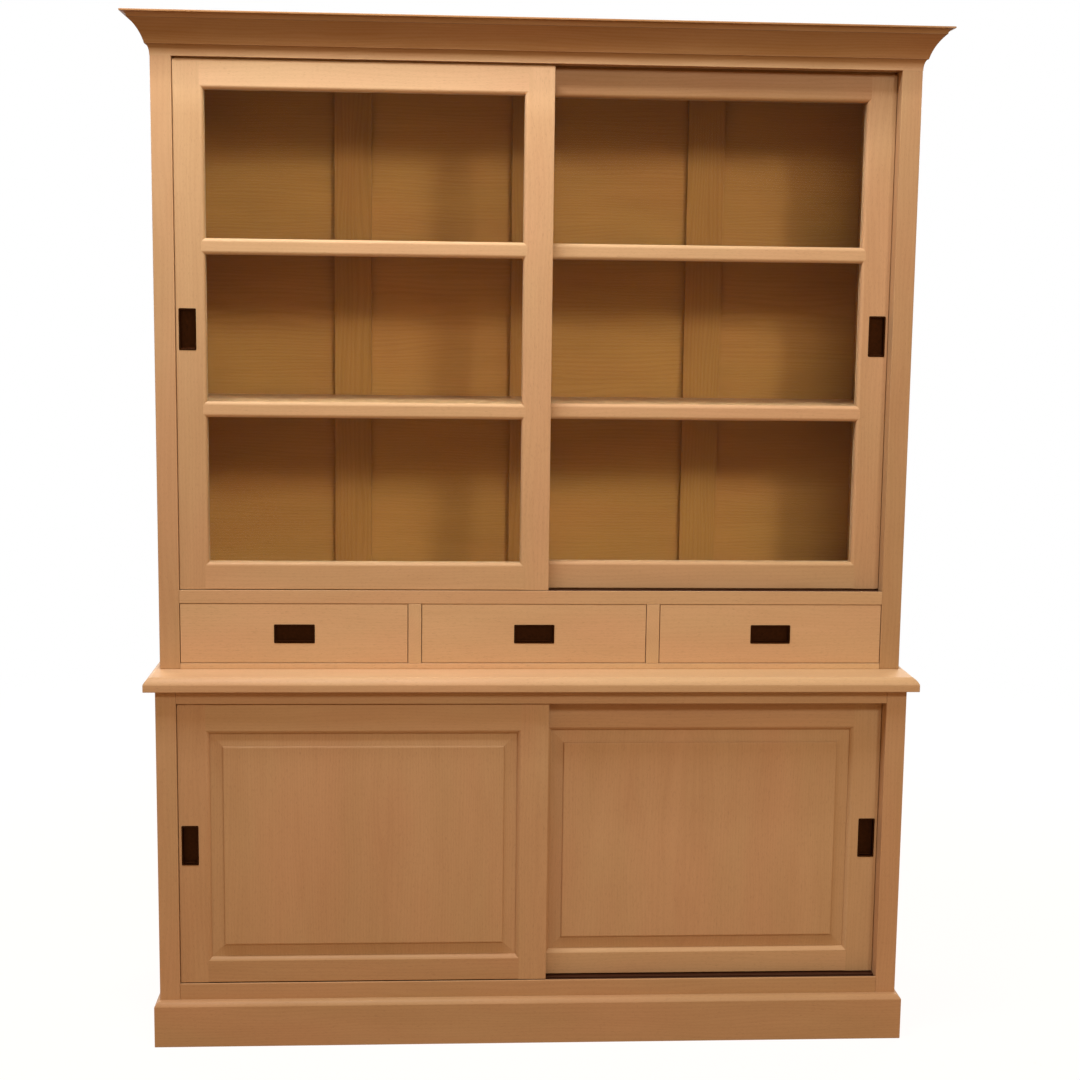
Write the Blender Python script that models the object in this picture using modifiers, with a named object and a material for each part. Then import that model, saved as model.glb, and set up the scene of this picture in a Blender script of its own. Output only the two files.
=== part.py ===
"""Buffet cabinet with sliding doors: a glazed hutch with three drawers on a panelled base.

Metres, +Z up. X runs along the front, Y from the front to the back. The origin is on the floor, in the
middle of the cabinet's outline.
"""

import math

import bmesh
import bpy
from mathutils import Matrix, Vector

# Overall sizes
BODY_WIDTH = 1.600
TOTAL_DEPTH = 0.500
TOTAL_HEIGHT = 2.168
LEDGE_BOTTOM = 0.778
LEDGE_THICKNESS = 0.030
LEDGE_OVERHANG = 0.022
LEDGE_ROUND = 0.015
HUTCH_SETBACK = 0.074

# Carcass boards
POST_WIDTH = 0.043
POST_BEHIND_DOORS = 0.0057
SIDE_THICKNESS = 0.020
SHELF_THICKNESS = 0.020
DISPLAY_FLOOR = 0.020
HUTCH_BOARD = 0.0125
HOUSING_DEPTH = 0.006
BACK_SHEET = 0.006
BACK_FRAME = 0.018
BACK_STILE = 0.084
BACK_STILES = 3
BACK_END = 0.0125
BACK_TOP_RAIL = 0.045
EASED_EDGE = 0.0012
THIN_EDGE = 0.0008

# Heights in the front, from the floor or from the piece below
BASE_SILL = 0.1335
BASE_SILL_RAIL = 0.075
BASE_HEAD_RAIL = 0.0295
BASE_SHELF_TOP = 0.455
DRAWER_OPENING = 0.130
HUTCH_SILL_RAIL = 0.0285
CORNICE_HEIGHT = 0.070
CAP_THICKNESS = 0.014

# Plinth and cornice
PLINTH_HEIGHT = 0.099
PLINTH_FRONT = 0.020
PLINTH_SIDE = 0.010
PLINTH_ROUND = 0.009
CORNICE_PROJECTION = 0.052
COVE_PROJECTION = 0.038
COVE_HOLLOW = 0.004
NECK_PROJECTION = 0.0095
NECK_HEIGHT = 0.0235
NECK_STEP = 0.0035

# Sliding doors
DOOR_THICKNESS = 0.025
DOOR_RECESS = 0.006
DOOR_SPACING = 0.0043
DOOR_OVERLAP = 0.060
DOOR_EDGE_GAP = 0.001
DOOR_HEAD_GAP = 0.005
DOOR_FOOT_GAP = 0.0015
STICKING = 0.008
GLASS_STILE = 0.063
GLASS_TOP_RAIL = 0.054
GLASS_BOTTOM_RAIL = 0.063
BAR_HEIGHT = 0.0335
BAR_FLAT = 0.004
GLASS_THICKNESS = 0.004
PANEL_STILE = 0.067
PANEL_TOP_RAIL = 0.055
PANEL_BOTTOM_RAIL = 0.061
PANEL_TONGUE = 0.007
PANEL_LIP = 0.002
PANEL_BORDER = 0.020
PANEL_STEP = 0.0025
FIELD_SETBACK = 0.0015
EDGE_SEAT = 0.008

# Tracks, runners and guides of the doors
LIP = 0.0055
CHANNEL_DEPTH = 0.008
TRACK_DROP = 0.002
TRACK_GROOVE = 0.0035
RUNNER_WIDTH = 0.008
RUNNER_PLAY = 0.0005
GUIDE_DEPTH = 0.012
GUIDE_ENGAGEMENT = 0.006

# Drawers
DIVIDER_WIDTH = 0.028
DRAWER_COUNT = 3
DRAWER_FRONT = 0.020
DRAWER_RECESS = 0.001
DRAWER_SIDE_GAP = 0.0015
DRAWER_TOP_GAP = 0.003
DRAWER_SIDE = 0.012
DRAWER_BOX_DROP = 0.025
DRAWER_BACK_GAP = 0.014
DRAWER_BOTTOM = 0.006
DRAWER_BOTTOM_RAISE = 0.008
DRAWER_GROOVE = 0.005

# Flush pulls
PULL_LENGTH = 0.087
DOOR_PULL_WIDTH = 0.036
DRAWER_PULL_WIDTH = 0.041
PULL_DEPTH = 0.012
PULL_WALL = 0.0035
PULL_RECESS = 0.010
PULL_INSET = 0.024
PULL_ROUND = 0.0005
PULL_PROUD = 0.0008

# Gap that meeting pieces keep, and the distance within which a point counts as lying on a face
GAP = 0.0003
TOUCH = 0.00001

# Places worked out from the sizes
BACK = TOTAL_DEPTH / 2
BASE_FRONT = -TOTAL_DEPTH / 2 + LEDGE_OVERHANG
HUTCH_FRONT = BASE_FRONT + HUTCH_SETBACK
LEDGE_TOP = LEDGE_BOTTOM + LEDGE_THICKNESS
BASE_HEAD = LEDGE_BOTTOM - BASE_HEAD_RAIL
DRAWER_FLOOR = LEDGE_TOP + HUTCH_BOARD
DRAWER_HEAD = DRAWER_FLOOR + DRAWER_OPENING
HUTCH_SILL = DRAWER_HEAD + HUTCH_SILL_RAIL
CAP_BOTTOM = TOTAL_HEIGHT - CAP_THICKNESS
HUTCH_HEAD = CAP_BOTTOM - CORNICE_HEIGHT
HALF = BODY_WIDTH / 2
HALF_OPENING = HALF - POST_WIDTH
INNER = HALF - SIDE_THICKNESS
HOUSED = INNER + HOUSING_DEPTH - GAP
SHEET_FRONT = BACK - BACK_SHEET
FRAME_FRONT = SHEET_FRONT - GAP - BACK_FRAME
DOOR_WIDTH = HALF_OPENING + DOOR_OVERLAP / 2 - DOOR_EDGE_GAP
DOOR_PITCH = DOOR_THICKNESS + DOOR_SPACING
DOORS_BACK = DOOR_RECESS + DOOR_PITCH + DOOR_THICKNESS
POST_DEPTH = DOORS_BACK + POST_BEHIND_DOORS
CHANNEL_WIDTH = DOORS_BACK + RUNNER_PLAY - LIP
TRACK_HEIGHT = CHANNEL_DEPTH - TRACK_DROP
GLASS_SETBACK = STICKING + BAR_FLAT + GAP
PANEL_SETBACK = STICKING + PANEL_LIP
GLASS_SLOT = GLASS_THICKNESS + 2 * GAP

# Finishes: colour, roughness, metal and transmission
SANDED_WOOD = ((0.72, 0.47, 0.27), 0.55, 0.0, 0.0)
PLANED_WOOD = ((0.60, 0.38, 0.21), 0.65, 0.0, 0.0)
TRACK_PLASTIC = ((0.035, 0.020, 0.012), 0.5, 0.0, 0.0)
DARK_BRONZE = ((0.020, 0.012, 0.008), 0.45, 0.6, 0.0)
CLEAR_GLASS = ((0.90, 0.95, 0.93), 0.02, 0.0, 1.0)


def clear_scene():
    """Removes whatever the scene holds."""
    for thing in list(bpy.data.objects):
        bpy.data.objects.remove(thing, do_unlink=True)


def make_collection(name):
    """A collection under the scene's own."""
    made = bpy.data.collections.new(name)
    bpy.context.scene.collection.children.link(made)
    return made


def make_material(name, finish):
    """A Principled material of one finish."""
    colour, roughness, metallic, transmission = finish
    made = bpy.data.materials.new(name)
    made.use_nodes = True
    shader = made.node_tree.nodes["Principled BSDF"]
    shader.inputs["Base Color"].default_value = (*colour, 1.0)
    shader.inputs["Roughness"].default_value = roughness
    shader.inputs["Metallic"].default_value = metallic
    shader.inputs["Transmission Weight"].default_value = transmission
    return made


def wood(name):
    """Bare, sanded hardwood of the outside."""
    return make_material(name, SANDED_WOOD)


def inner_wood(name):
    """Bare hardwood inside the cabinet."""
    return make_material(name, PLANED_WOOD)


class Workshop:
    """Makes objects in the cabinet's collection and cutters in their own."""

    def __init__(self):
        """Makes both collections."""
        self.parts = make_collection("buffet_cabinet")
        self.cutters = make_collection("cutters")

    def add(self, name, mesh, centre, parent=None, cutter=False):
        """An object at a place given in world coordinates, under its parent if it has one."""
        thing = bpy.data.objects.new(name, mesh)
        (self.cutters if cutter else self.parts).objects.link(thing)
        thing.location = centre
        if parent:
            thing.parent = parent
            thing.location = Vector(centre) - parent.location
        if cutter:
            thing.hide_render = True
            thing.display_type = "WIRE"
        return thing

    def carrier(self, name, place):
        """An empty that carries the pieces of a moving body."""
        empty = bpy.data.objects.new(name, None)
        empty.empty_display_size = 0.05
        empty.location = place
        self.parts.objects.link(empty)
        return empty

    def board(self, name, x, y, z, material, parent=None, eased=EASED_EDGE):
        """A board between two values on each axis, with its edges eased."""
        thing = self.add(name, box_mesh(name, x, y, z), middle(x, y, z), parent)
        thing.data.materials.append(material)
        if eased:
            ease(thing, eased, 2)
        return thing

    def cut(self, thing, label, x, y, z):
        """Takes a box out of a piece."""
        name = f"{thing.name}_{label}"
        cutter = self.add(name, box_mesh(name, x, y, z), middle(x, y, z), thing.parent, cutter=True)
        subtract(thing, cutter)

    def cut_loft(self, thing, label, centre, sections):
        """Takes a lofted opening out of a piece."""
        name = f"{thing.name}_{label}"
        cutter = self.add(name, loft_mesh(name, sections), centre, thing.parent, cutter=True)
        subtract(thing, cutter)


def middle(x, y, z):
    """The centre of a box given by its ranges."""
    return Vector((sum(x) / 2, sum(y) / 2, sum(z) / 2))


def box_mesh(name, x, y, z):
    """A box of the size of three ranges, around its own centre."""
    bm = bmesh.new()
    bmesh.ops.create_cube(bm, size=1.0)
    bmesh.ops.scale(bm, vec=(x[1] - x[0], y[1] - y[0], z[1] - z[0]), verts=bm.verts)
    mesh = bpy.data.meshes.new(name)
    bm.to_mesh(mesh)
    bm.free()
    return mesh


def loft_mesh(name, sections):
    """A closed loft along Y through rectangles, each given as its Y, half width and half height."""
    bm = bmesh.new()
    rings = []
    for y, half_width, half_height in sections:
        corners = ((-1, -1), (1, -1), (1, 1), (-1, 1))
        rings.append([bm.verts.new((i * half_width, y, k * half_height)) for i, k in corners])
    for low, high in zip(rings, rings[1:]):
        for i in range(4):
            bm.faces.new((low[i], low[i - 1], high[i - 1], high[i]))
    bm.faces.new(rings[0])
    bm.faces.new(reversed(rings[-1]))
    bmesh.ops.recalc_face_normals(bm, faces=bm.faces)
    mesh = bpy.data.meshes.new(name)
    bm.to_mesh(mesh)
    bm.free()
    return mesh


def ease(thing, width, segments):
    """Rounds every sharp edge of a piece."""
    bevel = thing.modifiers.new("eased edges", "BEVEL")
    bevel.width = width
    bevel.segments = segments
    bevel.limit_method = "ANGLE"


def round_top(thing, width, segments, sides):
    """Rounds the top edges on the named sides of a board, such as front, left and right."""
    outward = {"front": (1, -1), "left": (0, -1), "right": (0, 1)}
    mesh = thing.data
    edge = [max(abs(v.co[axis]) for v in mesh.vertices) - TOUCH for axis in range(3)]
    weights = mesh.attributes.new("bevel_weight_edge", "FLOAT", "EDGE")
    for line in mesh.edges:
        ends = [mesh.vertices[i].co for i in line.vertices]
        if min(end.z for end in ends) < edge[2]:
            continue
        for side in sides:
            axis, sign = outward[side]
            if all(end[axis] * sign > edge[axis] for end in ends):
                weights.data[line.index].value = 1.0
    bevel = thing.modifiers.new("rounded top", "BEVEL")
    bevel.width = width
    bevel.segments = segments
    bevel.limit_method = "WEIGHT"


def subtract(thing, cutter):
    """A Boolean cut that stays on the piece."""
    cut = thing.modifiers.new(cutter.name, "BOOLEAN")
    cut.operation = "DIFFERENCE"
    cut.object = cutter


def spread(centre, width):
    """The range of a width around a centre."""
    return (centre - width / 2, centre + width / 2)


def housings(shop, side, sign, heights, y):
    """Cuts the grooves that hold shelf ends across the inner face of a side board."""
    inner, deep = sign * (INNER - HOUSING_DEPTH), sign * (INNER + HOUSING_DEPTH)
    for number, (low, high) in enumerate(heights):
        shop.cut(side, f"housing_{number}", sorted((inner, deep)), y, (low - GAP, high + GAP))


def slide_grooves(shop, rail, front, top):
    """Cuts the channel of the track into the top of a sill rail."""
    start = front + LIP
    shop.cut(
        rail,
        "channel",
        spread(0, BODY_WIDTH),
        (start, start + CHANNEL_WIDTH),
        (top - CHANNEL_DEPTH, top + CHANNEL_DEPTH),
    )


def guide_grooves(shop, rail, front, bottom):
    """Cuts one guide groove for each door into the underside of a head rail."""
    for number in range(2):
        centre = front + DOOR_RECESS + DOOR_THICKNESS / 2 + number * DOOR_PITCH
        shop.cut(
            rail,
            f"guide_{number}",
            spread(0, BODY_WIDTH),
            spread(centre, RUNNER_WIDTH + 2 * RUNNER_PLAY),
            (bottom - GUIDE_DEPTH, bottom + GUIDE_DEPTH),
        )


def build_track(shop, name, front, top):
    """The twin-groove strip that lies in the channel of a sill."""
    start = front + LIP + GAP
    low = top - CHANNEL_DEPTH + GAP
    track = shop.board(
        name,
        (-HALF_OPENING + GAP, HALF_OPENING - GAP),
        (start, start + CHANNEL_WIDTH - 2 * GAP),
        (low, low + TRACK_HEIGHT),
        make_material(name, TRACK_PLASTIC),
        eased=0,
    )
    for number in range(2):
        centre = front + DOOR_RECESS + DOOR_THICKNESS / 2 + number * DOOR_PITCH
        shop.cut(
            track,
            f"groove_{number}",
            spread(0, BODY_WIDTH),
            spread(centre, RUNNER_WIDTH + 2 * RUNNER_PLAY),
            (low + TRACK_HEIGHT - TRACK_GROOVE, low + 2 * TRACK_HEIGHT),
        )


def sticking_sections(half_width, half_height, depth):
    """Rectangles of an opening whose front edge is rounded over, from past the back to past the front.

    At a distance d behind the face the opening is wider by r - sqrt(r^2 - (r - d)^2) on each side, where r
    is the radius of the rounding.
    """
    steps = 4
    sections = [(depth, half_width, half_height)]
    for step in range(steps + 1):
        angle = math.pi / 2 * step / steps
        behind = STICKING * (1 - math.sin(angle))
        wider = STICKING * (1 - math.cos(angle))
        sections.append((behind, half_width + wider, half_height + wider))
    wide = half_width + STICKING
    tall = half_height + STICKING
    sections.append((-STICKING, wide, tall))
    return sections


def build_door_frame(shop, name, carrier, x, front, z, material):
    """The outer frame of a door as one board with its runner below and its tongue above."""
    y = (front, front + DOOR_THICKNESS)
    frame = shop.board(name, x, y, z, material, carrier)
    centre = front + DOOR_THICKNESS / 2
    groove_floor = z[0] - DOOR_FOOT_GAP - CHANNEL_DEPTH + GAP + TRACK_HEIGHT - TRACK_GROOVE
    runner_tip = groove_floor + GAP
    tongue_tip = z[1] + DOOR_HEAD_GAP + GUIDE_ENGAGEMENT
    inset = 2 * EASED_EDGE
    for label, low, high in (
        ("runner", runner_tip, z[0] + inset),
        ("tongue", z[1] - inset, tongue_tip),
    ):
        x_in = (x[0] + inset, x[1] - inset)
        helper = shop.add(
            f"{name}_{label}",
            box_mesh(label, x_in, spread(centre, RUNNER_WIDTH), (low, high)),
            middle(x_in, spread(centre, RUNNER_WIDTH), (low, high)),
            carrier,
            cutter=True,
        )
        union = frame.modifiers.new(label, "BOOLEAN")
        union.operation = "UNION"
        union.object = helper
    return frame


def build_pull(shop, name, carrier, x, front, z, host):
    """A flush cup pull and the pocket that it fills in its host."""
    y = (front - PULL_PROUD, front + PULL_DEPTH)
    pull = shop.board(name, x, y, z, make_material(name, DARK_BRONZE), carrier, eased=0)
    ease(pull, PULL_ROUND, 1)
    shop.cut(
        pull,
        "cup",
        (x[0] + PULL_WALL, x[1] - PULL_WALL),
        (front - PULL_RECESS, front - PULL_PROUD + PULL_RECESS),
        (z[0] + PULL_WALL, z[1] - PULL_WALL),
    )
    shop.cut(
        host,
        "pull_pocket",
        (x[0] - GAP, x[1] + GAP),
        (front - PULL_DEPTH, front + PULL_DEPTH + GAP),
        (z[0] - GAP, z[1] + GAP),
    )


def glass_lights():
    """The lower and upper edge of the glass that shows in the doors of the hutch."""
    low = HUTCH_SILL + DOOR_FOOT_GAP + GLASS_BOTTOM_RAIL
    high = HUTCH_HEAD - DOOR_HEAD_GAP - GLASS_TOP_RAIL
    return low, high


def build_glass_door(shop, name, side, number):
    """A glazed door: a frame with two bars, its pane and its pull.

    side is -1 for the door that closes at the left and 1 at the right, and number counts tracks from the
    front.
    """
    front = HUTCH_FRONT + DOOR_RECESS + number * DOOR_PITCH
    outer = side * (HALF_OPENING - DOOR_EDGE_GAP)
    x = sorted((outer, outer - side * DOOR_WIDTH))
    z = (HUTCH_SILL + DOOR_FOOT_GAP, HUTCH_HEAD - DOOR_HEAD_GAP)
    carrier = shop.carrier(name, (sum(x) / 2, front + DOOR_THICKNESS / 2, z[0]))
    frame = build_door_frame(shop, f"{name}_frame", carrier, x, front, z, wood(f"{name}_frame"))

    half_width = (x[1] - x[0]) / 2 - GLASS_STILE
    low, high = glass_lights()
    light = (high - low - 2 * BAR_HEIGHT) / 3
    for row in range(3):
        centre = low + light / 2 + row * (light + BAR_HEIGHT)
        sections = sticking_sections(half_width, light / 2, GLASS_SETBACK)
        shop.cut_loft(frame, f"light_{row}", (sum(x) / 2, front, centre), sections)
    sight_x = (x[0] + GLASS_STILE, x[1] - GLASS_STILE)
    slot_y = (front + GLASS_SETBACK - GAP, front + GLASS_SETBACK - GAP + GLASS_SLOT)
    shop.cut(
        frame,
        "glass_slot",
        (sight_x[0] - EDGE_SEAT, sight_x[1] + EDGE_SEAT),
        slot_y,
        (low - EDGE_SEAT, high + EDGE_SEAT),
    )
    shop.cut(frame, "rear_light", sight_x, (slot_y[0] + GAP, front + 2 * DOOR_THICKNESS), (low, high))
    shop.board(
        f"{name}_glass",
        (sight_x[0] - EDGE_SEAT + GAP, sight_x[1] + EDGE_SEAT - GAP),
        (slot_y[0] + GAP, slot_y[1] - GAP),
        (low - EDGE_SEAT + GAP, high + EDGE_SEAT - GAP),
        make_material(f"{name}_glass", CLEAR_GLASS),
        carrier,
        eased=0,
    )
    grip = side * (HALF_OPENING - DOOR_EDGE_GAP - PULL_INSET)
    pull_x = spread(grip, DOOR_PULL_WIDTH)
    build_pull(shop, f"{name}_pull", carrier, pull_x, front, spread(sum(z) / 2, PULL_LENGTH), frame)


def build_panel_door(shop, name, side, number):
    """A panelled door: a frame, a raised panel held in its grooves, and its pull."""
    front = BASE_FRONT + DOOR_RECESS + number * DOOR_PITCH
    outer = side * (HALF_OPENING - DOOR_EDGE_GAP)
    x = sorted((outer, outer - side * DOOR_WIDTH))
    z = (BASE_SILL + DOOR_FOOT_GAP, BASE_HEAD - DOOR_HEAD_GAP)
    carrier = shop.carrier(name, (sum(x) / 2, front + DOOR_THICKNESS / 2, z[0]))
    frame = build_door_frame(shop, f"{name}_frame", carrier, x, front, z, wood(f"{name}_frame"))

    half_width = (x[1] - x[0]) / 2 - PANEL_STILE
    low, high = z[0] + PANEL_BOTTOM_RAIL, z[1] - PANEL_TOP_RAIL
    half_height = (high - low) / 2
    centre = Vector((sum(x) / 2, front, (low + high) / 2))
    sections = sticking_sections(half_width, half_height, 2 * DOOR_THICKNESS)
    shop.cut_loft(frame, "opening", centre, sections)
    shop.cut(
        frame,
        "groove",
        spread(centre.x, 2 * (half_width + EDGE_SEAT)),
        (front + PANEL_SETBACK - GAP, front + PANEL_SETBACK + PANEL_TONGUE + GAP),
        spread(centre.z, 2 * (half_height + EDGE_SEAT)),
    )
    edge = EDGE_SEAT - GAP
    tongue = (half_width + edge, half_height + edge)
    inner = (half_width - PANEL_BORDER, half_height - PANEL_BORDER)
    sections = [
        (PANEL_SETBACK + PANEL_TONGUE, *tongue),
        (PANEL_SETBACK, *tongue),
        (PANEL_SETBACK, half_width - GAP, half_height - GAP),
        (FIELD_SETBACK + PANEL_STEP, *inner),
        (FIELD_SETBACK, *inner),
    ]
    panel = shop.add(f"{name}_panel", loft_mesh("raised panel", sections), centre, carrier)
    panel.data.materials.append(wood(f"{name}_panel"))
    grip = side * (HALF_OPENING - DOOR_EDGE_GAP - PULL_INSET)
    pull_x = spread(grip, DOOR_PULL_WIDTH)
    build_pull(shop, f"{name}_pull", carrier, pull_x, front, spread(sum(z) / 2, PULL_LENGTH), frame)


def drawer_bays():
    """The centre and width of each drawer's opening, from left to right."""
    width = (2 * HALF_OPENING - (DRAWER_COUNT - 1) * DIVIDER_WIDTH) / DRAWER_COUNT
    pitch = width + DIVIDER_WIDTH
    first = -pitch * (DRAWER_COUNT - 1) / 2
    return [(first + number * pitch, width) for number in range(DRAWER_COUNT)]


def build_drawer(shop, name, centre, width):
    """A drawer: front, a box of two sides and a back, its bottom and its pull."""
    front = HUTCH_FRONT + DRAWER_RECESS
    x = spread(centre, width - 2 * DRAWER_SIDE_GAP)
    z = (DRAWER_FLOOR + DRAWER_SIDE_GAP, DRAWER_HEAD - DRAWER_TOP_GAP)
    carrier = shop.carrier(name, (centre, front, sum(z) / 2))
    face = shop.board(f"{name}_front", x, (front, front + DRAWER_FRONT), z, wood(f"{name}_front"), carrier)

    box_y = (front + DRAWER_FRONT + GAP, FRAME_FRONT - DRAWER_BACK_GAP)
    box_z = (DRAWER_FLOOR + GAP, DRAWER_HEAD - DRAWER_BOX_DROP)
    inside = (x[0] + DRAWER_SIDE, x[1] - DRAWER_SIDE)
    inside_y = (box_y[0] - DRAWER_SIDE, box_y[1] - DRAWER_SIDE)
    box = shop.board(f"{name}_box", x, box_y, box_z, inner_wood(f"{name}_box"), carrier, eased=0)
    tall = (box_z[0] - DRAWER_SIDE, box_z[1] + DRAWER_SIDE)
    shop.cut(box, "inside", inside, inside_y, tall)
    bottom_z = (box_z[0] + DRAWER_BOTTOM_RAISE, box_z[0] + DRAWER_BOTTOM_RAISE + DRAWER_BOTTOM)
    groove_x = (inside[0] - DRAWER_GROOVE, inside[1] + DRAWER_GROOVE)
    shop.cut(
        box,
        "groove",
        groove_x,
        (inside_y[0], inside_y[1] + DRAWER_GROOVE),
        (bottom_z[0] - GAP, bottom_z[1] + GAP),
    )
    shop.board(
        f"{name}_bottom",
        (groove_x[0] + GAP, groove_x[1] - GAP),
        (box_y[0], inside_y[1] + DRAWER_GROOVE - GAP),
        bottom_z,
        inner_wood(f"{name}_bottom"),
        carrier,
        eased=0,
    )
    pull_z = spread(sum(z) / 2, DRAWER_PULL_WIDTH)
    build_pull(shop, f"{name}_pull", carrier, spread(centre, PULL_LENGTH), front, pull_z, face)


def cornice_profile():
    """The outline of the cornice as (projection, height) points, from the bottom up.

    The neck swells by a quarter of an ellipse. A small step follows, and above it the cove: a straight line
    up to the cap board, hollowed by 4 h t (1 - t) square to itself, where t runs from 0 to 1 along it and h
    is the depth of the hollow.
    """
    steps = 8
    low, high = HUTCH_HEAD, CAP_BOTTOM - GAP
    points = [(GAP, high)]
    swell = Vector((NECK_PROJECTION - NECK_STEP / 2 - GAP, NECK_HEIGHT - NECK_STEP))
    for step in range(steps // 2 + 1):
        angle = math.pi / 2 * step / (steps // 2)
        points.append((GAP + swell.x * (1 - math.cos(angle)), low + swell.y * math.sin(angle)))
    start = Vector((NECK_PROJECTION, low + NECK_HEIGHT))
    points.append((NECK_PROJECTION, start.y - NECK_STEP))
    chord = Vector((COVE_PROJECTION, high)) - start
    inward = Vector((-chord.y, chord.x)).normalized()
    for step in range(steps + 1):
        t = step / steps
        points.append(tuple(start + chord * t + inward * (4 * COVE_HOLLOW * t * (1 - t))))
    return points


def moulding_mesh(name, outline, half_length):
    """A length of moulding: its outline in local X and Y, its run along local Z."""
    curve = bpy.data.curves.new(name, "CURVE")
    curve.dimensions = "2D"
    curve.fill_mode = "BOTH"
    curve.extrude = half_length
    spline = curve.splines.new("POLY")
    spline.points.add(len(outline) - 1)
    for point, (out, up) in zip(spline.points, outline):
        point.co = (out, up, 0.0, 1.0)
    spline.use_cyclic_u = True
    guide = bpy.data.objects.new(name, curve)
    bpy.context.scene.collection.objects.link(guide)
    graph = bpy.context.evaluated_depsgraph_get()
    mesh = bpy.data.meshes.new_from_object(guide.evaluated_get(graph))
    bpy.data.objects.remove(guide, do_unlink=True)
    bm = bmesh.new()
    bm.from_mesh(mesh)
    bmesh.ops.remove_doubles(bm, verts=bm.verts, dist=1e-6)
    bmesh.ops.recalc_face_normals(bm, faces=bm.faces)
    bm.to_mesh(mesh)
    bm.free()
    return mesh


def saw(mesh, place, normal):
    """Cuts a mesh at a plane and closes the cut; what lies on the normal's side falls away."""
    bm = bmesh.new()
    bm.from_mesh(mesh)
    geometry = bm.verts[:] + bm.edges[:] + bm.faces[:]
    cut = bmesh.ops.bisect_plane(
        bm, geom=geometry, dist=1e-7, plane_co=place, plane_no=normal, clear_outer=True
    )
    edges = [edge for edge in cut["geom_cut"] if isinstance(edge, bmesh.types.BMEdge)]
    bmesh.ops.edgeloop_fill(bm, edges=edges)
    bmesh.ops.recalc_face_normals(bm, faces=bm.faces)
    bm.to_mesh(mesh)
    bm.free()


def turned(out, up):
    """The rotation that takes local X to one direction and local Y to another."""
    out, up = Vector(out), Vector(up)
    return Matrix((out, up, out.cross(up))).transposed().to_4x4()


def build_cornice(shop):
    """The cornice: a front length and two returns, mitred at the corners."""
    outline = cornice_profile()
    reach = COVE_PROJECTION + GAP
    joint = GAP / math.sqrt(2)
    front = moulding_mesh("cornice_front", outline, HALF + reach)
    saw(front, (0, 0, HALF - joint), (-1, 0, 1))
    saw(front, (0, 0, -HALF + joint), (-1, 0, -1))
    piece = shop.add("cornice_front", front, (0, 0, 0))
    piece.matrix_world = Matrix.Translation((0, HUTCH_FRONT, 0)) @ turned((0, -1, 0), (0, 0, 1))
    piece.data.materials.append(wood("cornice_front"))
    length = BACK - HUTCH_FRONT + 2 * reach
    centre = BACK - length / 2
    for label, side in (("left", -1), ("right", 1)):
        name = f"cornice_{label}"
        mesh = moulding_mesh(name, outline, length / 2)
        along = -side
        saw(mesh, (0, 0, along * (HUTCH_FRONT - centre + joint)), (-1, 0, -along))
        piece = shop.add(name, mesh, (0, 0, 0))
        piece.matrix_world = Matrix.Translation((side * HALF, centre, 0)) @ turned((side, 0, 0), (0, 0, 1))
        piece.data.materials.append(wood(name))


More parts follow.
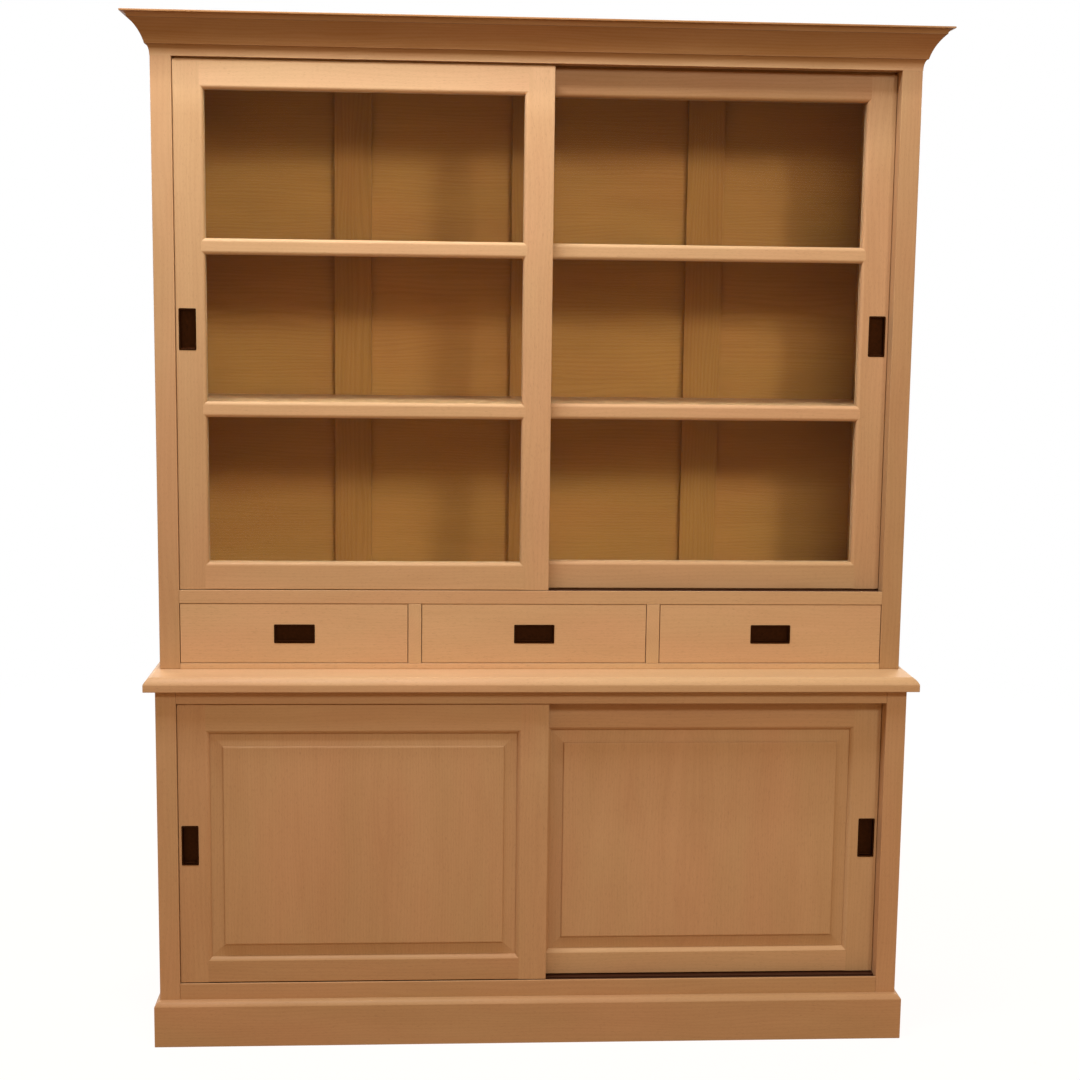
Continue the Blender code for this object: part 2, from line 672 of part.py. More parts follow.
def build_base(shop):
    """The carcass of the base with its plinth and its ledge."""
    top = LEDGE_BOTTOM - GAP
    post_back = BASE_FRONT + POST_DEPTH
    deck = (BASE_SILL - SHELF_THICKNESS, BASE_SILL)
    shelf = (BASE_SHELF_TOP - SHELF_THICKNESS, BASE_SHELF_TOP)
    for label, sign in (("left", -1), ("right", 1)):
        post_x = sorted((sign * HALF, sign * HALF_OPENING))
        name = f"base_post_{label}"
        shop.board(name, post_x, (BASE_FRONT, post_back), (0, top), wood(name))
        name = f"base_side_{label}"
        side_x = sorted((sign * HALF, sign * INNER))
        side = shop.board(name, side_x, (post_back + GAP, BACK), (0, top), wood(name))
        housings(shop, side, sign, (deck, shelf), (post_back - GAP, SHEET_FRONT))

    rail_x = (-HALF_OPENING + GAP, HALF_OPENING - GAP)
    rail_y = (BASE_FRONT, post_back)
    head = shop.board("base_head_rail", rail_x, rail_y, (BASE_HEAD, top), wood("base_head_rail"))
    guide_grooves(shop, head, BASE_FRONT, BASE_HEAD)
    sill_z = (BASE_SILL - BASE_SILL_RAIL, BASE_SILL)
    sill = shop.board("base_sill_rail", rail_x, rail_y, sill_z, wood("base_sill_rail"))
    slide_grooves(shop, sill, BASE_FRONT, BASE_SILL)
    build_track(shop, "base_door_track", BASE_FRONT, BASE_SILL)

    inner_y = (post_back + GAP, SHEET_FRONT - GAP)
    shop.board("base_deck", (-HOUSED, HOUSED), inner_y, deck, inner_wood("base_deck"), eased=0)
    shop.board("base_shelf", (-HOUSED, HOUSED), inner_y, shelf, inner_wood("base_shelf"), eased=0)
    shop.board(
        "base_shelf_upright",
        spread(0, SHELF_THICKNESS),
        inner_y,
        (deck[1] + GAP, shelf[0] - GAP),
        inner_wood("base_shelf_upright"),
        eased=0,
    )
    shop.board(
        "base_back",
        (-INNER + GAP, INNER - GAP),
        (SHEET_FRONT, BACK),
        (deck[0], top),
        inner_wood("base_back"),
        eased=0,
    )

    ledge = shop.board(
        "ledge",
        spread(0, BODY_WIDTH + 2 * LEDGE_OVERHANG),
        (BASE_FRONT - LEDGE_OVERHANG, BACK),
        (LEDGE_BOTTOM, LEDGE_TOP),
        wood("ledge"),
        eased=0,
    )
    round_top(ledge, LEDGE_ROUND, 6, ("front", "left", "right"))

    plinth_x = spread(0, BODY_WIDTH + 2 * PLINTH_SIDE)
    plinth_z = (0, PLINTH_HEIGHT)
    front_y = (BASE_FRONT - PLINTH_FRONT, BASE_FRONT - GAP)
    plinth = shop.board("plinth_front", plinth_x, front_y, plinth_z, wood("plinth_front"), eased=0)
    round_top(plinth, PLINTH_ROUND, 4, ("front", "left", "right"))
    for label, sign in (("left", -1), ("right", 1)):
        x = sorted((sign * (HALF + GAP), sign * (HALF + PLINTH_SIDE)))
        name = f"plinth_{label}"
        board = shop.board(name, x, (BASE_FRONT, BACK), plinth_z, wood(name), eased=0)
        round_top(board, PLINTH_ROUND, 4, (label,))


def build_hutch(shop):
    """The carcass of the hutch."""
    low, top = LEDGE_TOP + GAP, CAP_BOTTOM - GAP
    post_back = HUTCH_FRONT + POST_DEPTH
    floor = (HUTCH_SILL - DISPLAY_FLOOR, HUTCH_SILL)
    low_light, high_light = glass_lights()
    pitch = (high_light - low_light + BAR_HEIGHT) / 3
    bars = [low_light + number * pitch - BAR_HEIGHT / 2 for number in (1, 2)]
    shelves = [spread(height, SHELF_THICKNESS) for height in bars]
    for label, sign in (("left", -1), ("right", 1)):
        post_x = sorted((sign * HALF, sign * HALF_OPENING))
        name = f"hutch_post_{label}"
        shop.board(name, post_x, (HUTCH_FRONT, post_back), (low, top), wood(name))
        name = f"hutch_side_{label}"
        side_x = sorted((sign * HALF, sign * INNER))
        side = shop.board(name, side_x, (post_back + GAP, BACK), (low, top), wood(name))
        housings(shop, side, sign, (floor, *shelves), (post_back - GAP, FRAME_FRONT))
        name = f"drawer_guide_{label}"
        shop.board(
            name,
            sorted((sign * (HALF_OPENING + GAP), sign * (INNER - GAP))),
            (post_back + GAP, FRAME_FRONT - GAP),
            (low, DRAWER_HEAD - GAP),
            inner_wood(name),
            eased=0,
        )

    rail_x = (-HALF_OPENING + GAP, HALF_OPENING - GAP)
    rail_y = (HUTCH_FRONT, post_back)
    head = shop.board("hutch_head_rail", rail_x, rail_y, (HUTCH_HEAD, top), wood("hutch_head_rail"))
    guide_grooves(shop, head, HUTCH_FRONT, HUTCH_HEAD)
    sill = shop.board("hutch_sill_rail", rail_x, rail_y, (DRAWER_HEAD, HUTCH_SILL), wood("hutch_sill_rail"))
    slide_grooves(shop, sill, HUTCH_FRONT, HUTCH_SILL)
    build_track(shop, "hutch_door_track", HUTCH_FRONT, HUTCH_SILL)
    bottom_y = (HUTCH_FRONT, FRAME_FRONT - GAP)
    shop.board("hutch_bottom", rail_x, bottom_y, (low, DRAWER_FLOOR), wood("hutch_bottom"), eased=THIN_EDGE)

    inner_y = (post_back + GAP, FRAME_FRONT - GAP)
    shop.board("display_floor", (-HOUSED, HOUSED), inner_y, floor, inner_wood("display_floor"), eased=0)
    for label, height in zip(("lower", "upper"), shelves):
        name = f"shelf_{label}"
        shop.board(name, (-HOUSED, HOUSED), inner_y, height, inner_wood(name), eased=0)
    bays = drawer_bays()
    for number, ((left, width), (right, _)) in enumerate(zip(bays, bays[1:])):
        name = f"drawer_divider_{('left', 'right')[number]}"
        shop.board(
            name,
            spread((left + right) / 2, DIVIDER_WIDTH),
            (HUTCH_FRONT, FRAME_FRONT - GAP),
            (DRAWER_FLOOR + GAP, DRAWER_HEAD - GAP),
            wood(name),
            eased=THIN_EDGE,
        )

    back_x = (-INNER + GAP, INNER - GAP)
    name = "hutch_back_frame"
    frame_y = (FRAME_FRONT, SHEET_FRONT - GAP)
    frame = shop.board(name, back_x, frame_y, (low, top), inner_wood(name), eased=0)
    field = (2 * (INNER - BACK_END) - BACK_STILES * BACK_STILE) / (BACK_STILES + 1)
    for number in range(BACK_STILES + 1):
        start = -INNER + BACK_END + number * (field + BACK_STILE)
        shop.cut(
            frame,
            f"field_{number}",
            (start, start + field),
            (FRAME_FRONT - BACK_FRAME, BACK + BACK_FRAME),
            (HUTCH_SILL, top - BACK_TOP_RAIL),
        )
    name = "hutch_back_sheet"
    shop.board(name, back_x, (SHEET_FRONT, BACK), (low, top), inner_wood(name), eased=0)
    shop.board(
        "hutch_cap",
        spread(0, BODY_WIDTH + 2 * CORNICE_PROJECTION),
        (HUTCH_FRONT - CORNICE_PROJECTION, BACK),
        (CAP_BOTTOM, TOTAL_HEIGHT),
        wood("hutch_cap"),
    )


def main():
    """Builds the whole cabinet."""
    clear_scene()
    shop = Workshop()
    build_base(shop)
    build_hutch(shop)
    build_cornice(shop)
    for label, side, number in (("left", -1, 0), ("right", 1, 1)):
        build_glass_door(shop, f"glass_door_{label}", side, number)
        build_panel_door(shop, f"panel_door_{label}", side, number)
    for label, (centre, width) in zip(("left", "middle", "right"), drawer_bays()):
        build_drawer(shop, f"drawer_{label}", centre, width)


main()
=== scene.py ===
"""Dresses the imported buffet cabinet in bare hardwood, clear glass, dark bronze and track plastic.

Metres, +Z up, in the frame's own coordinates: X runs along the front and Y from the front to the back.
Most wooden pieces are made anew here, as boards and mouldings with eased edges, coped joints and a grain
that follows each board. The panes and the tracks keep the solids of the frame and get better materials.
"""

import logging
import math
import zlib
from dataclasses import dataclass, replace
from enum import Enum
from typing import Any

import bmesh
import bpy
import numpy as np
from mathutils import Matrix, Vector

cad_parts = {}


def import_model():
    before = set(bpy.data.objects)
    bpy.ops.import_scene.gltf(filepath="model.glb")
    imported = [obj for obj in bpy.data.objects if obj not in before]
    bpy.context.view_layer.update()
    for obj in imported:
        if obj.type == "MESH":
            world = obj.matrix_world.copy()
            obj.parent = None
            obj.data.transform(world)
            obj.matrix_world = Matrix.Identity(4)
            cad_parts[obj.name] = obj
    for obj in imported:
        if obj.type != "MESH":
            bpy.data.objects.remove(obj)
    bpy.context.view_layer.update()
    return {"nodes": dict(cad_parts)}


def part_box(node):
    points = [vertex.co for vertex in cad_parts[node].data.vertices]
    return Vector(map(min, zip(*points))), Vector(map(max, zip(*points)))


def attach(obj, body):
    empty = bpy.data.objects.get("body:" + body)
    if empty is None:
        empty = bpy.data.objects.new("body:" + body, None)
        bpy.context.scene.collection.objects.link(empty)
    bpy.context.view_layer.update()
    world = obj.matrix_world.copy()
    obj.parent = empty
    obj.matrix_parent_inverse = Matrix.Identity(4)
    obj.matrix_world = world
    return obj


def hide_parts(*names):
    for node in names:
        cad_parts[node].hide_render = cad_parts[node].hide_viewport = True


LOG = logging.getLogger("buffet_cabinet")
HANDS = ("left", "right")

MM = 0.001
# The walls of a groove lean by a hair, a board has some fit in its groove, and a seam parts two boards
HAIR = 0.01 * MM
FIT = 0.3 * MM
SEAM = 0.1 * MM
MERGE = 0.001 * MM
ARRIS = 1.2 * MM
CRISP = (0.0,) * 4

Range = tuple[float, float]
Triple = tuple[float, float, float]
Section = tuple[np.ndarray, np.ndarray, np.ndarray, np.ndarray, np.ndarray]
Faces = list[list[int]]
Box = tuple[Any, Any]


class Lay(Enum):
    """How a piece lies: the axes that its length, its width and its depth follow."""

    # Along the front and on edge, upright, and along the front and flat
    RAIL = (0, 2, 1)
    STILE = (2, 0, 1)
    SHELF = (0, 1, 2)
    # Upright and facing sideways, from front to back and flat, and from front to back and on edge
    FLANK = (2, 1, 0)
    RUNNER = (1, 0, 2)
    DIVIDER = (1, 2, 0)


class Cut(Enum):
    """How the end of a length is cut."""

    SQUARE = "square"
    COPED = "coped to the moulding that it meets"
    MITRED = "mitred at 45 degrees"


def linear(code: str) -> Triple:
    """Turns an sRGB colour into the linear values that Blender works in.

    Below 0.04045 a channel is divided by 12.92, and above it is ((c + 0.055) / 1.055) to the power 2.4.

    Args:
        code: Six hexadecimal digits after a hash.

    Returns:
        The red, green and blue of the colour, from 0 to 1.
    """
    channels = np.array([int(code[i : i + 2], 16) for i in (1, 3, 5)]) / 255
    bright = ((channels + 0.055) / 1.055) ** 2.4
    return tuple(np.where(channels <= 0.04045, channels / 12.92, bright).tolist())


def opaque(code: str) -> tuple[float, ...]:
    """An sRGB colour as linear values with full cover."""
    return (*linear(code), 1.0)


def rounding(distance: np.ndarray, radius: float, bulge: float = 2.0) -> np.ndarray:
    """How far a worked edge stands back at a distance from the face that it starts on.

    r - (r^b - (r - d)^b)^(1/b) within the radius r, and nothing beyond it: a quarter of a circle where
    the bulge b is 2, and a straight chamfer where it is 1.

    Args:
        distance: Distances behind the face.
        radius: The radius of the edge.
        bulge: How full the edge is.

    Returns:
        The setback at each distance.
    """
    reach = np.clip(radius - distance, 0, radius)
    return radius - np.maximum(radius**bulge - reach**bulge, 0.0) ** (1 / bulge)


def scoop(distance: np.ndarray, across: float, deep: float) -> np.ndarray:
    """How far a hollowed edge stands back: deep * sqrt(1 - (d / across)^2) up to across, then nothing."""
    share = np.clip(distance / across, 0, 1)
    return deep * np.sqrt(1 - share**2)


def quarter(radius: float) -> np.ndarray:
    """Distances at which a rounding of a radius is sampled: r (1 - cos a), for a from 0 to 90 degrees."""
    steps = 3 if radius < 2 * MM else 4 + int(radius / MM)
    return radius * (1 - np.cos(np.linspace(0, math.pi / 2, steps)))


@dataclass(frozen=True)
class Edge:
    """One long edge of a piece.

    It has a rounding in front and behind, grooves as (from, to, how deep), and a bulge that says how full
    the front is.
    """

    front: float = ARRIS
    back: float = ARRIS
    grooves: tuple[Triple, ...] = ()
    bulge: float = 2.0

    def depths(self, thickness: float) -> np.ndarray:
        """Depths at which the edge turns.

        Args:
            thickness: The thickness of the piece.

        Returns:
            The depths, in no order.
        """
        found = [quarter(self.front), thickness - quarter(self.back)]
        for start, end, _ in self.grooves:
            found.append(np.array([start, start + HAIR, end - HAIR, end]))
        return np.concatenate(found)

    def setback(self, depth: np.ndarray, thickness: float) -> np.ndarray:
        """How far the edge stands back at each depth, without its grooves."""
        return rounding(depth, self.front, self.bulge) + rounding(thickness - depth, self.back)

    def groove(self, depth: np.ndarray) -> np.ndarray:
        """How deep the edge's grooves are.

        Args:
            depth: Depths behind the face.

        Returns:
            The depth of the groove at each of them, or nothing beside a groove.
        """
        cut = np.zeros_like(depth)
        for start, end, deep in self.grooves:
            cut += deep * ((depth > start + HAIR / 2) & (depth < end - HAIR / 2))
        return cut


SAWN = Edge(0.3 * MM, 0.3 * MM)
THIN = Edge(0.8 * MM, 0.8 * MM)
EASED = Edge()


def groove_for(node: str, axis: int, start: float, deep: float) -> Triple:
    """A groove that takes a node, with some fit on both sides.

    Args:
        node: The CAD node that stands in it.
        axis: The axis across the groove.
        start: Where the grooved piece starts on that axis.
        deep: How deep the groove is.

    Returns:
        Where it starts and ends within the piece, and how deep it is.
    """
    low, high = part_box(node)
    return low[axis] - start - FIT, high[axis] - start + FIT, deep


@dataclass(frozen=True)
class Pocket:
    """A mortise in a face: its middle and its half sizes along and across, its depth and its corners."""

    along: float
    across: float
    half_along: float
    half_across: float
    deep: float
    corner: float


def rounded_rectangle(half_x: float, half_y: float, corner: float, steps: int = 6) -> np.ndarray:
    """A rectangle with rounded corners.

    Each corner is an arc: its centre, half the size less the radius, plus the radius times the cosine and
    sine of an angle.

    Args:
        half_x: Half of its first size.
        half_y: Half of its second size.
        corner: The radius of its corners.
        steps: Points in each corner.

    Returns:
        The points as an array of (4 * steps, 2), anticlockwise from the corner at the low x and high y.
    """
    signs = np.array([(-1, 1), (-1, -1), (1, -1), (1, 1)], float)
    first = np.radians([90.0, 180.0, 270.0, 0.0])
    angles = first[:, None] + np.linspace(0, math.pi / 2, steps)[None, :]
    centres = signs * (half_x - corner, half_y - corner)
    arcs = corner * np.stack([np.cos(angles), np.sin(angles)], axis=2)
    return (centres[:, None, :] + arcs).reshape(-1, 2)


def ring_faces(rings: int, points: int) -> np.ndarray:
    """Quads that join each ring of points to the next one.

    Args:
        rings: How many rings there are.
        points: The points in each ring.

    Returns:
        The quads as an array of (rings - 1, points, 4).
    """
    index = np.arange(rings * points).reshape(rings, points)
    ahead = np.roll(index, -1, axis=1)
    return np.stack([index[:-1], ahead[:-1], ahead[1:], index[1:]], axis=2)


def strip_lid(points: int, start: int) -> np.ndarray:
    """Quads that close a ring whose first half runs along one side and whose second half runs back."""
    low = np.arange(points // 2 - 1)
    return start + np.stack([low, low + 1, points - 2 - low, points - 1 - low], axis=1)


def mesh_points(mesh: bpy.types.Mesh) -> np.ndarray:
    """The points of a mesh, one row each."""
    points = np.empty(len(mesh.vertices) * 3)
    mesh.vertices.foreach_get("co", points)
    return points.reshape(-1, 3)


def mesh_normals(mesh: bpy.types.Mesh) -> np.ndarray:
    """The normals of a mesh's faces, one row each."""
    normals = np.empty(len(mesh.polygons) * 3, np.float32)
    mesh.polygons.foreach_get("normal", normals)
    return normals.reshape(-1, 3)


def clean_mesh(name: str, points: np.ndarray, faces: Faces) -> bpy.types.Mesh:
    """A closed mesh: points that coincide are merged and every face is turned outwards.

    Args:
        name: The name of the mesh.
        points: Its points, one row each.
        faces: The numbers of each face's points.

    Returns:
        The mesh.
    """
    mesh = bpy.data.meshes.new(name)
    mesh.from_pydata(points.tolist(), [], faces)
    bm = bmesh.new()
    bm.from_mesh(mesh)
    bmesh.ops.remove_doubles(bm, verts=bm.verts, dist=MERGE)
    bmesh.ops.recalc_face_normals(bm, faces=bm.faces)
    bm.to_mesh(mesh)
    bm.free()
    return mesh


def ringed_mesh(name: str, rings: np.ndarray) -> bpy.types.Mesh:
    """A closed mesh of rings, each joined to the next, with one face over each end.

    Args:
        name: The name of the mesh.
        rings: The points as an array of (rings, points, 3).

    Returns:
        The mesh.
    """
    count, size = rings.shape[:2]
    faces = ring_faces(count, size).reshape(-1, 4).tolist()
    faces += [list(range(size)), list(range((count - 1) * size, count * size))]
    return clean_mesh(name, rings.reshape(-1, 3), faces)


@dataclass
class Length:
    """A length of wood: a section carried along an axis, with its ends cut and eased.

    The section is a face, at depth 0, whose two long edges run back to the full depth. Ranges may run
    downwards: depth is then measured from the high side. The ends ease the low and the high edge, the
    face and the back. The ramp of painted shade says from which height up the wood is painted darker,
    and by how much a metre; with a negative slope it is painted lighter, a painted highlight.
    """

    lay: Lay
    along: Range
    across: Range
    depth: Range
    low: Edge = EASED
    high: Edge = EASED
    ends: tuple[float, ...] = (ARRIS,) * 4
    cuts: tuple[Cut, Cut] = (Cut.SQUARE, Cut.SQUARE)
    cope: Edge = EASED
    # Painted shade that grows with height: where it starts, and how much a metre; a negative slope paints
    # light
    fade: Range = (0.0, 0.0)
    grooved_until: float | None = None
    pocket: Pocket | None = None

    @property
    def thickness(self) -> float:
        """The size of the piece from its face to its back."""
        return abs(self.depth[1] - self.depth[0])

    def section(self) -> Section:
        """The section's depths, the setback of both edges there, and how deep their grooves are."""
        edges = (self.low, self.high)
        depth = np.unique(np.round(np.concatenate([edge.depths(self.thickness) for edge in edges]), 8))
        setbacks = [edge.setback(depth, self.thickness) for edge in edges]
        return (depth, *setbacks, *(edge.groove(depth) for edge in edges))

    def stations(self) -> np.ndarray:
        """Places along the length where the section is set."""
        start, end = self.along
        eased = np.unique(np.round(np.concatenate([quarter(radius) for radius in self.ends]), 8))
        places = [start + eased * np.sign(end - start), end - eased * np.sign(end - start)]
        if self.lay is Lay.STILE and start < self.fade[0] < end:
            places.append(np.array([self.fade[0]]))
        if self.grooved_until is not None:
            places.append(np.array([self.grooved_until, self.grooved_until + HAIR]))
        if self.pocket:
            reach = self.pocket.half_along + MM
            places.append(np.array([self.pocket.along - reach, self.pocket.along + reach]))
        return np.unique(np.concatenate(places))

    def end_setbacks(self, far: np.ndarray) -> list[np.ndarray]:
        """How far the low and the high edge, the face and the back stand in at distances from an end."""
        bulges = (self.low.bulge, self.high.bulge, 2.0, 2.0)
        return [rounding(far, radius, bulge) for radius, bulge in zip(self.ends, bulges)]

    def shade(self, points: np.ndarray) -> np.ndarray:
        """How much painted shade the wood gets at each point, which grows evenly with the height above a
        start.
        """
        start, slope = self.fade
        return np.maximum(points[:, 2] - start, 0.0) * slope

    def rings(self) -> np.ndarray:
        """The points of the section at each station.

        Near an end the section shrinks by the rounding of the end's edges at that distance. A coped end
        reaches further by the rounding of the moulding that it meets, and a mitred one by its own width.

        Returns:
            The points as an array of (stations, points of the section, 3).
        """
        depth, low_set, high_set, low_cut, high_cut = self.section()
        places = self.stations()
        width = abs(self.across[1] - self.across[0])
        far = np.minimum(places - places[0], places[-1] - places)[:, None]
        low_end, high_end, face_end, back_end = self.end_setbacks(far)
        grooved = 1.0
        if self.grooved_until is not None:
            grooved = (places <= self.grooved_until).astype(float)[:, None]
        low = np.maximum(low_set + low_cut * grooved, low_end)
        high = np.minimum(width - high_set - high_cut * grooved, width - high_end)
        back = np.clip(np.broadcast_to(depth, low.shape), face_end, depth[-1] - back_end)
        across = np.concatenate([low, high[:, ::-1]], axis=1)
        back = np.concatenate([back, back[:, ::-1]], axis=1)
        along = np.repeat(places[:, None], across.shape[1], axis=1)
        for row, sign, cut in ((0, -1, self.cuts[0]), (-1, 1, self.cuts[1])):
            if cut is Cut.COPED:
                along[row] += sign * rounding(back[row], self.cope.front, self.cope.bulge)
            if cut is Cut.MITRED:
                along[row] += sign * across[row]
        points = np.empty((*across.shape, 3))
        length_axis, width_axis, depth_axis = self.lay.value
        points[..., length_axis] = along
        points[..., width_axis] = self.across[0] + across * np.sign(self.across[1] - self.across[0])
        points[..., depth_axis] = self.depth[0] + back * np.sign(self.depth[1] - self.depth[0])
        return points

    def mesh(self, name: str) -> bpy.types.Mesh:
        """The length as a closed mesh.

        Args:
            name: The name of the mesh.

        Returns:
            The mesh.
        """
        rings = self.rings()
        count, size = rings.shape[:2]
        quads = ring_faces(count, size)
        kept = np.ones(quads.shape[:2], bool)
        points = rings.reshape(-1, 3)
        extra: Faces = []
        if self.pocket:
            row = int(np.searchsorted(self.stations(), self.pocket.along)) - 1
            kept[row, -1] = False
            added, extra = self.pocket_faces(quads[row, -1], count * size)
            points = np.concatenate([points, added])
        faces = [strip_lid(size, 0), strip_lid(size, (count - 1) * size), quads[kept]]
        return clean_mesh(name, points, np.concatenate(faces).tolist() + extra)

    def pocket_faces(self, corners: np.ndarray, first: int) -> tuple[np.ndarray, Faces]:
        """The pocket's rim, wall and floor, in place of one face.

        Args:
            corners: The four points of the face that the pocket opens.
            first: The number that the pocket's first point gets.

        Returns:
            The pocket's points, and its faces.
        """
        pocket = self.pocket
        outline = rounded_rectangle(pocket.half_along, pocket.half_across, pocket.corner)
        length_axis, width_axis, depth_axis = self.lay.value
        sign = np.sign(self.depth[1] - self.depth[0])
        points = np.empty((2, len(outline), 3))
        points[..., length_axis] = pocket.along + outline[:, 0]
        points[..., width_axis] = pocket.across + outline[:, 1]
        points[..., depth_axis] = self.depth[0] + sign * np.array([0.0, pocket.deep])[:, None]
        rim = first + np.arange(len(outline))
        floor = rim + len(outline)
        arcs = rim.reshape(4, -1)
        faces = []
        for corner in range(4):
            beyond = (corner + 1) % 4
            faces.append([corners[corner], corners[beyond], arcs[beyond][0], arcs[corner][-1]])
            faces += [[corners[corner], b, a] for a, b in zip(arcs[corner], arcs[corner][1:])]
        faces += np.stack([rim, np.roll(rim, -1), np.roll(floor, -1), floor], axis=1).tolist()
        faces.append(floor.tolist())
        return points.reshape(-1, 3), [[int(i) for i in face] for face in faces]


@dataclass
class HollowedBoard(Length):
    """A board whose face is hollowed along its low edge and both ends by a quarter of an ellipse."""

    rise: float = 10.5 * MM
    run: float = 13 * MM
    steps: int = 13

    def section(self) -> Section:
        """The section of a plain board, with the hollow in its low edge."""
        thickness = self.thickness
        hollow = self.rise * np.sin(np.linspace(0, math.pi / 2, self.steps))
        found = np.concatenate([hollow, self.low.depths(thickness), self.high.depths(thickness)])
        depth = np.unique(np.round(found, 8))
        low = np.maximum(self.low.setback(depth, thickness), scoop(depth, self.rise, self.run))
        none = np.zeros_like(depth)
        return depth, low, self.high.setback(depth, thickness), none, none

    def stations(self) -> np.ndarray:
        """The stations of a plain board, and those of the hollows in its ends."""
        hollow = self.run * np.cos(np.linspace(0, math.pi / 2, self.steps))
        start, end = self.along
        return np.unique(np.round(np.concatenate([super().stations(), start + hollow, end - hollow]), 8))

    def end_setbacks(self, far: np.ndarray) -> list[np.ndarray]:
        """The setbacks of a plain board, with the hollow in its face."""
        low, high, face, back = super().end_setbacks(far)
        return [low, high, np.maximum(face, scoop(far, self.run, self.rise)), back]


@dataclass
class Moulding(Length):
    """A length whose section is a moulded face: depth runs up its back and its reach is its width.

    From its foot up it gets painted shade, full from a quarter of its height, which stands in for the shade
    under the cap.
    """

    heights: np.ndarray | None = None
    reach: np.ndarray | None = None
    # How much painted shade the moulding gets above its foot
    darker: float = 0.5

    def shade(self, points: np.ndarray) -> np.ndarray:
        """No painted shade at the foot, and all of it where the height is a quarter of the moulding's."""
        low, high = self.depth
        share = np.clip(4 * (points[:, self.lay.value[2]] - low) / (high - low), 0, 1)
        return self.darker * share

    def section(self) -> Section:
        """The moulding's heights, the setback of its back and of its face, and no grooves."""
        none = np.zeros_like(self.heights)
        return self.heights, none + FIT, 1 - self.reach, none, none


def board(
    lay: Lay, box: Box, edge: Edge = EASED, kind: type[Length] = Length, **settings: Any
) -> Length:
    """A board that fills a box, with all its edges eased alike unless the settings say otherwise.

    Args:
        lay: How it lies.
        box: Its lowest and its highest corner.
        edge: How its edges and its ends are eased.
        kind: The class of length that it is.
        settings: Other fields of the length.

    Returns:
        The board.
    """
    low, high = box
    ranges = ((low[axis], high[axis]) for axis in lay.value)
    return kind(lay, *ranges, **{"low": edge, "high": edge, "ends": (edge.front,) * 4, **settings})


def grow(box: Box, axis: int, low: float, high: float) -> tuple[list[float], list[float]]:
    """A box with its range on one axis set anew."""
    lowest, highest = list(box[0]), list(box[1])
    lowest[axis], highest[axis] = low, high
    return lowest, highest


def set_inputs(tree: bpy.types.NodeTree, node: Any, links: dict[Any, Any]) -> None:
    """Sets the inputs of a node.

    Args:
        tree: The node's tree.
        node: The node.
        links: Inputs, each with a value or with the output that feeds it.
    """
    for key, value in links.items():
        if isinstance(value, bpy.types.NodeSocket):
            tree.links.new(value, node.inputs[key])
        else:
            node.inputs[key].default_value = value


def add_node(
    tree: bpy.types.NodeTree, kind: str, links: dict[Any, Any], output: int | str = 0, **settings: Any
) -> Any:
    """Adds a node to a tree.

    Args:
        tree: The tree that gets the node.
        kind: The node's type.
        links: Its inputs, each with a value or with the output that feeds it.
        output: The output that is wanted.
        settings: Its properties and their values.

    Returns:
        The output.
    """
    made = tree.nodes.new(kind)
    for key, value in settings.items():
        setattr(made, key, value)
    set_inputs(tree, made, links)
    return made.outputs[output]


def new_material(name: str) -> tuple[bpy.types.Material, bpy.types.NodeTree, Any]:
    """A material with its node tree and its Principled shader."""
    made = bpy.data.materials.new(name)
    made.use_nodes = True
    return made, made.node_tree, made.node_tree.nodes["Principled BSDF"]


def dress(
    tree: bpy.types.NodeTree,
    shader: Any,
    pattern: Any,
    colours: tuple[str, str],
    rough: Range,
    height: Any,
    bump: float,
) -> None:
    """Lets a pattern drive a shader's colour and roughness, and a height of 0.05 mm bend its light.

    Args:
        tree: The material's node tree.
        shader: Its shader.
        pattern: The output that drives both, from 0 to 1.
        colours: The colours at 0 and at 1.
        rough: The roughness at 0 and at 1.
        height: The output that gives the height.
        bump: How strongly the height shows.
    """
    links = {0: pattern, 6: opaque(colours[0]), 7: opaque(colours[1])}
    colour = add_node(tree, "ShaderNodeMix", links, 2, data_type="RGBA")
    links = {"Value": pattern, "To Min": rough[0], "To Max": rough[1]}
    roughness = add_node(tree, "ShaderNodeMapRange", links)
    links = {"Strength": bump, "Distance": 0.05 * MM, "Height": height}
    normal = add_node(tree, "ShaderNodeBump", links)
    set_inputs(tree, shader, {"Base Color": colour, "Roughness": roughness, "Normal": normal})


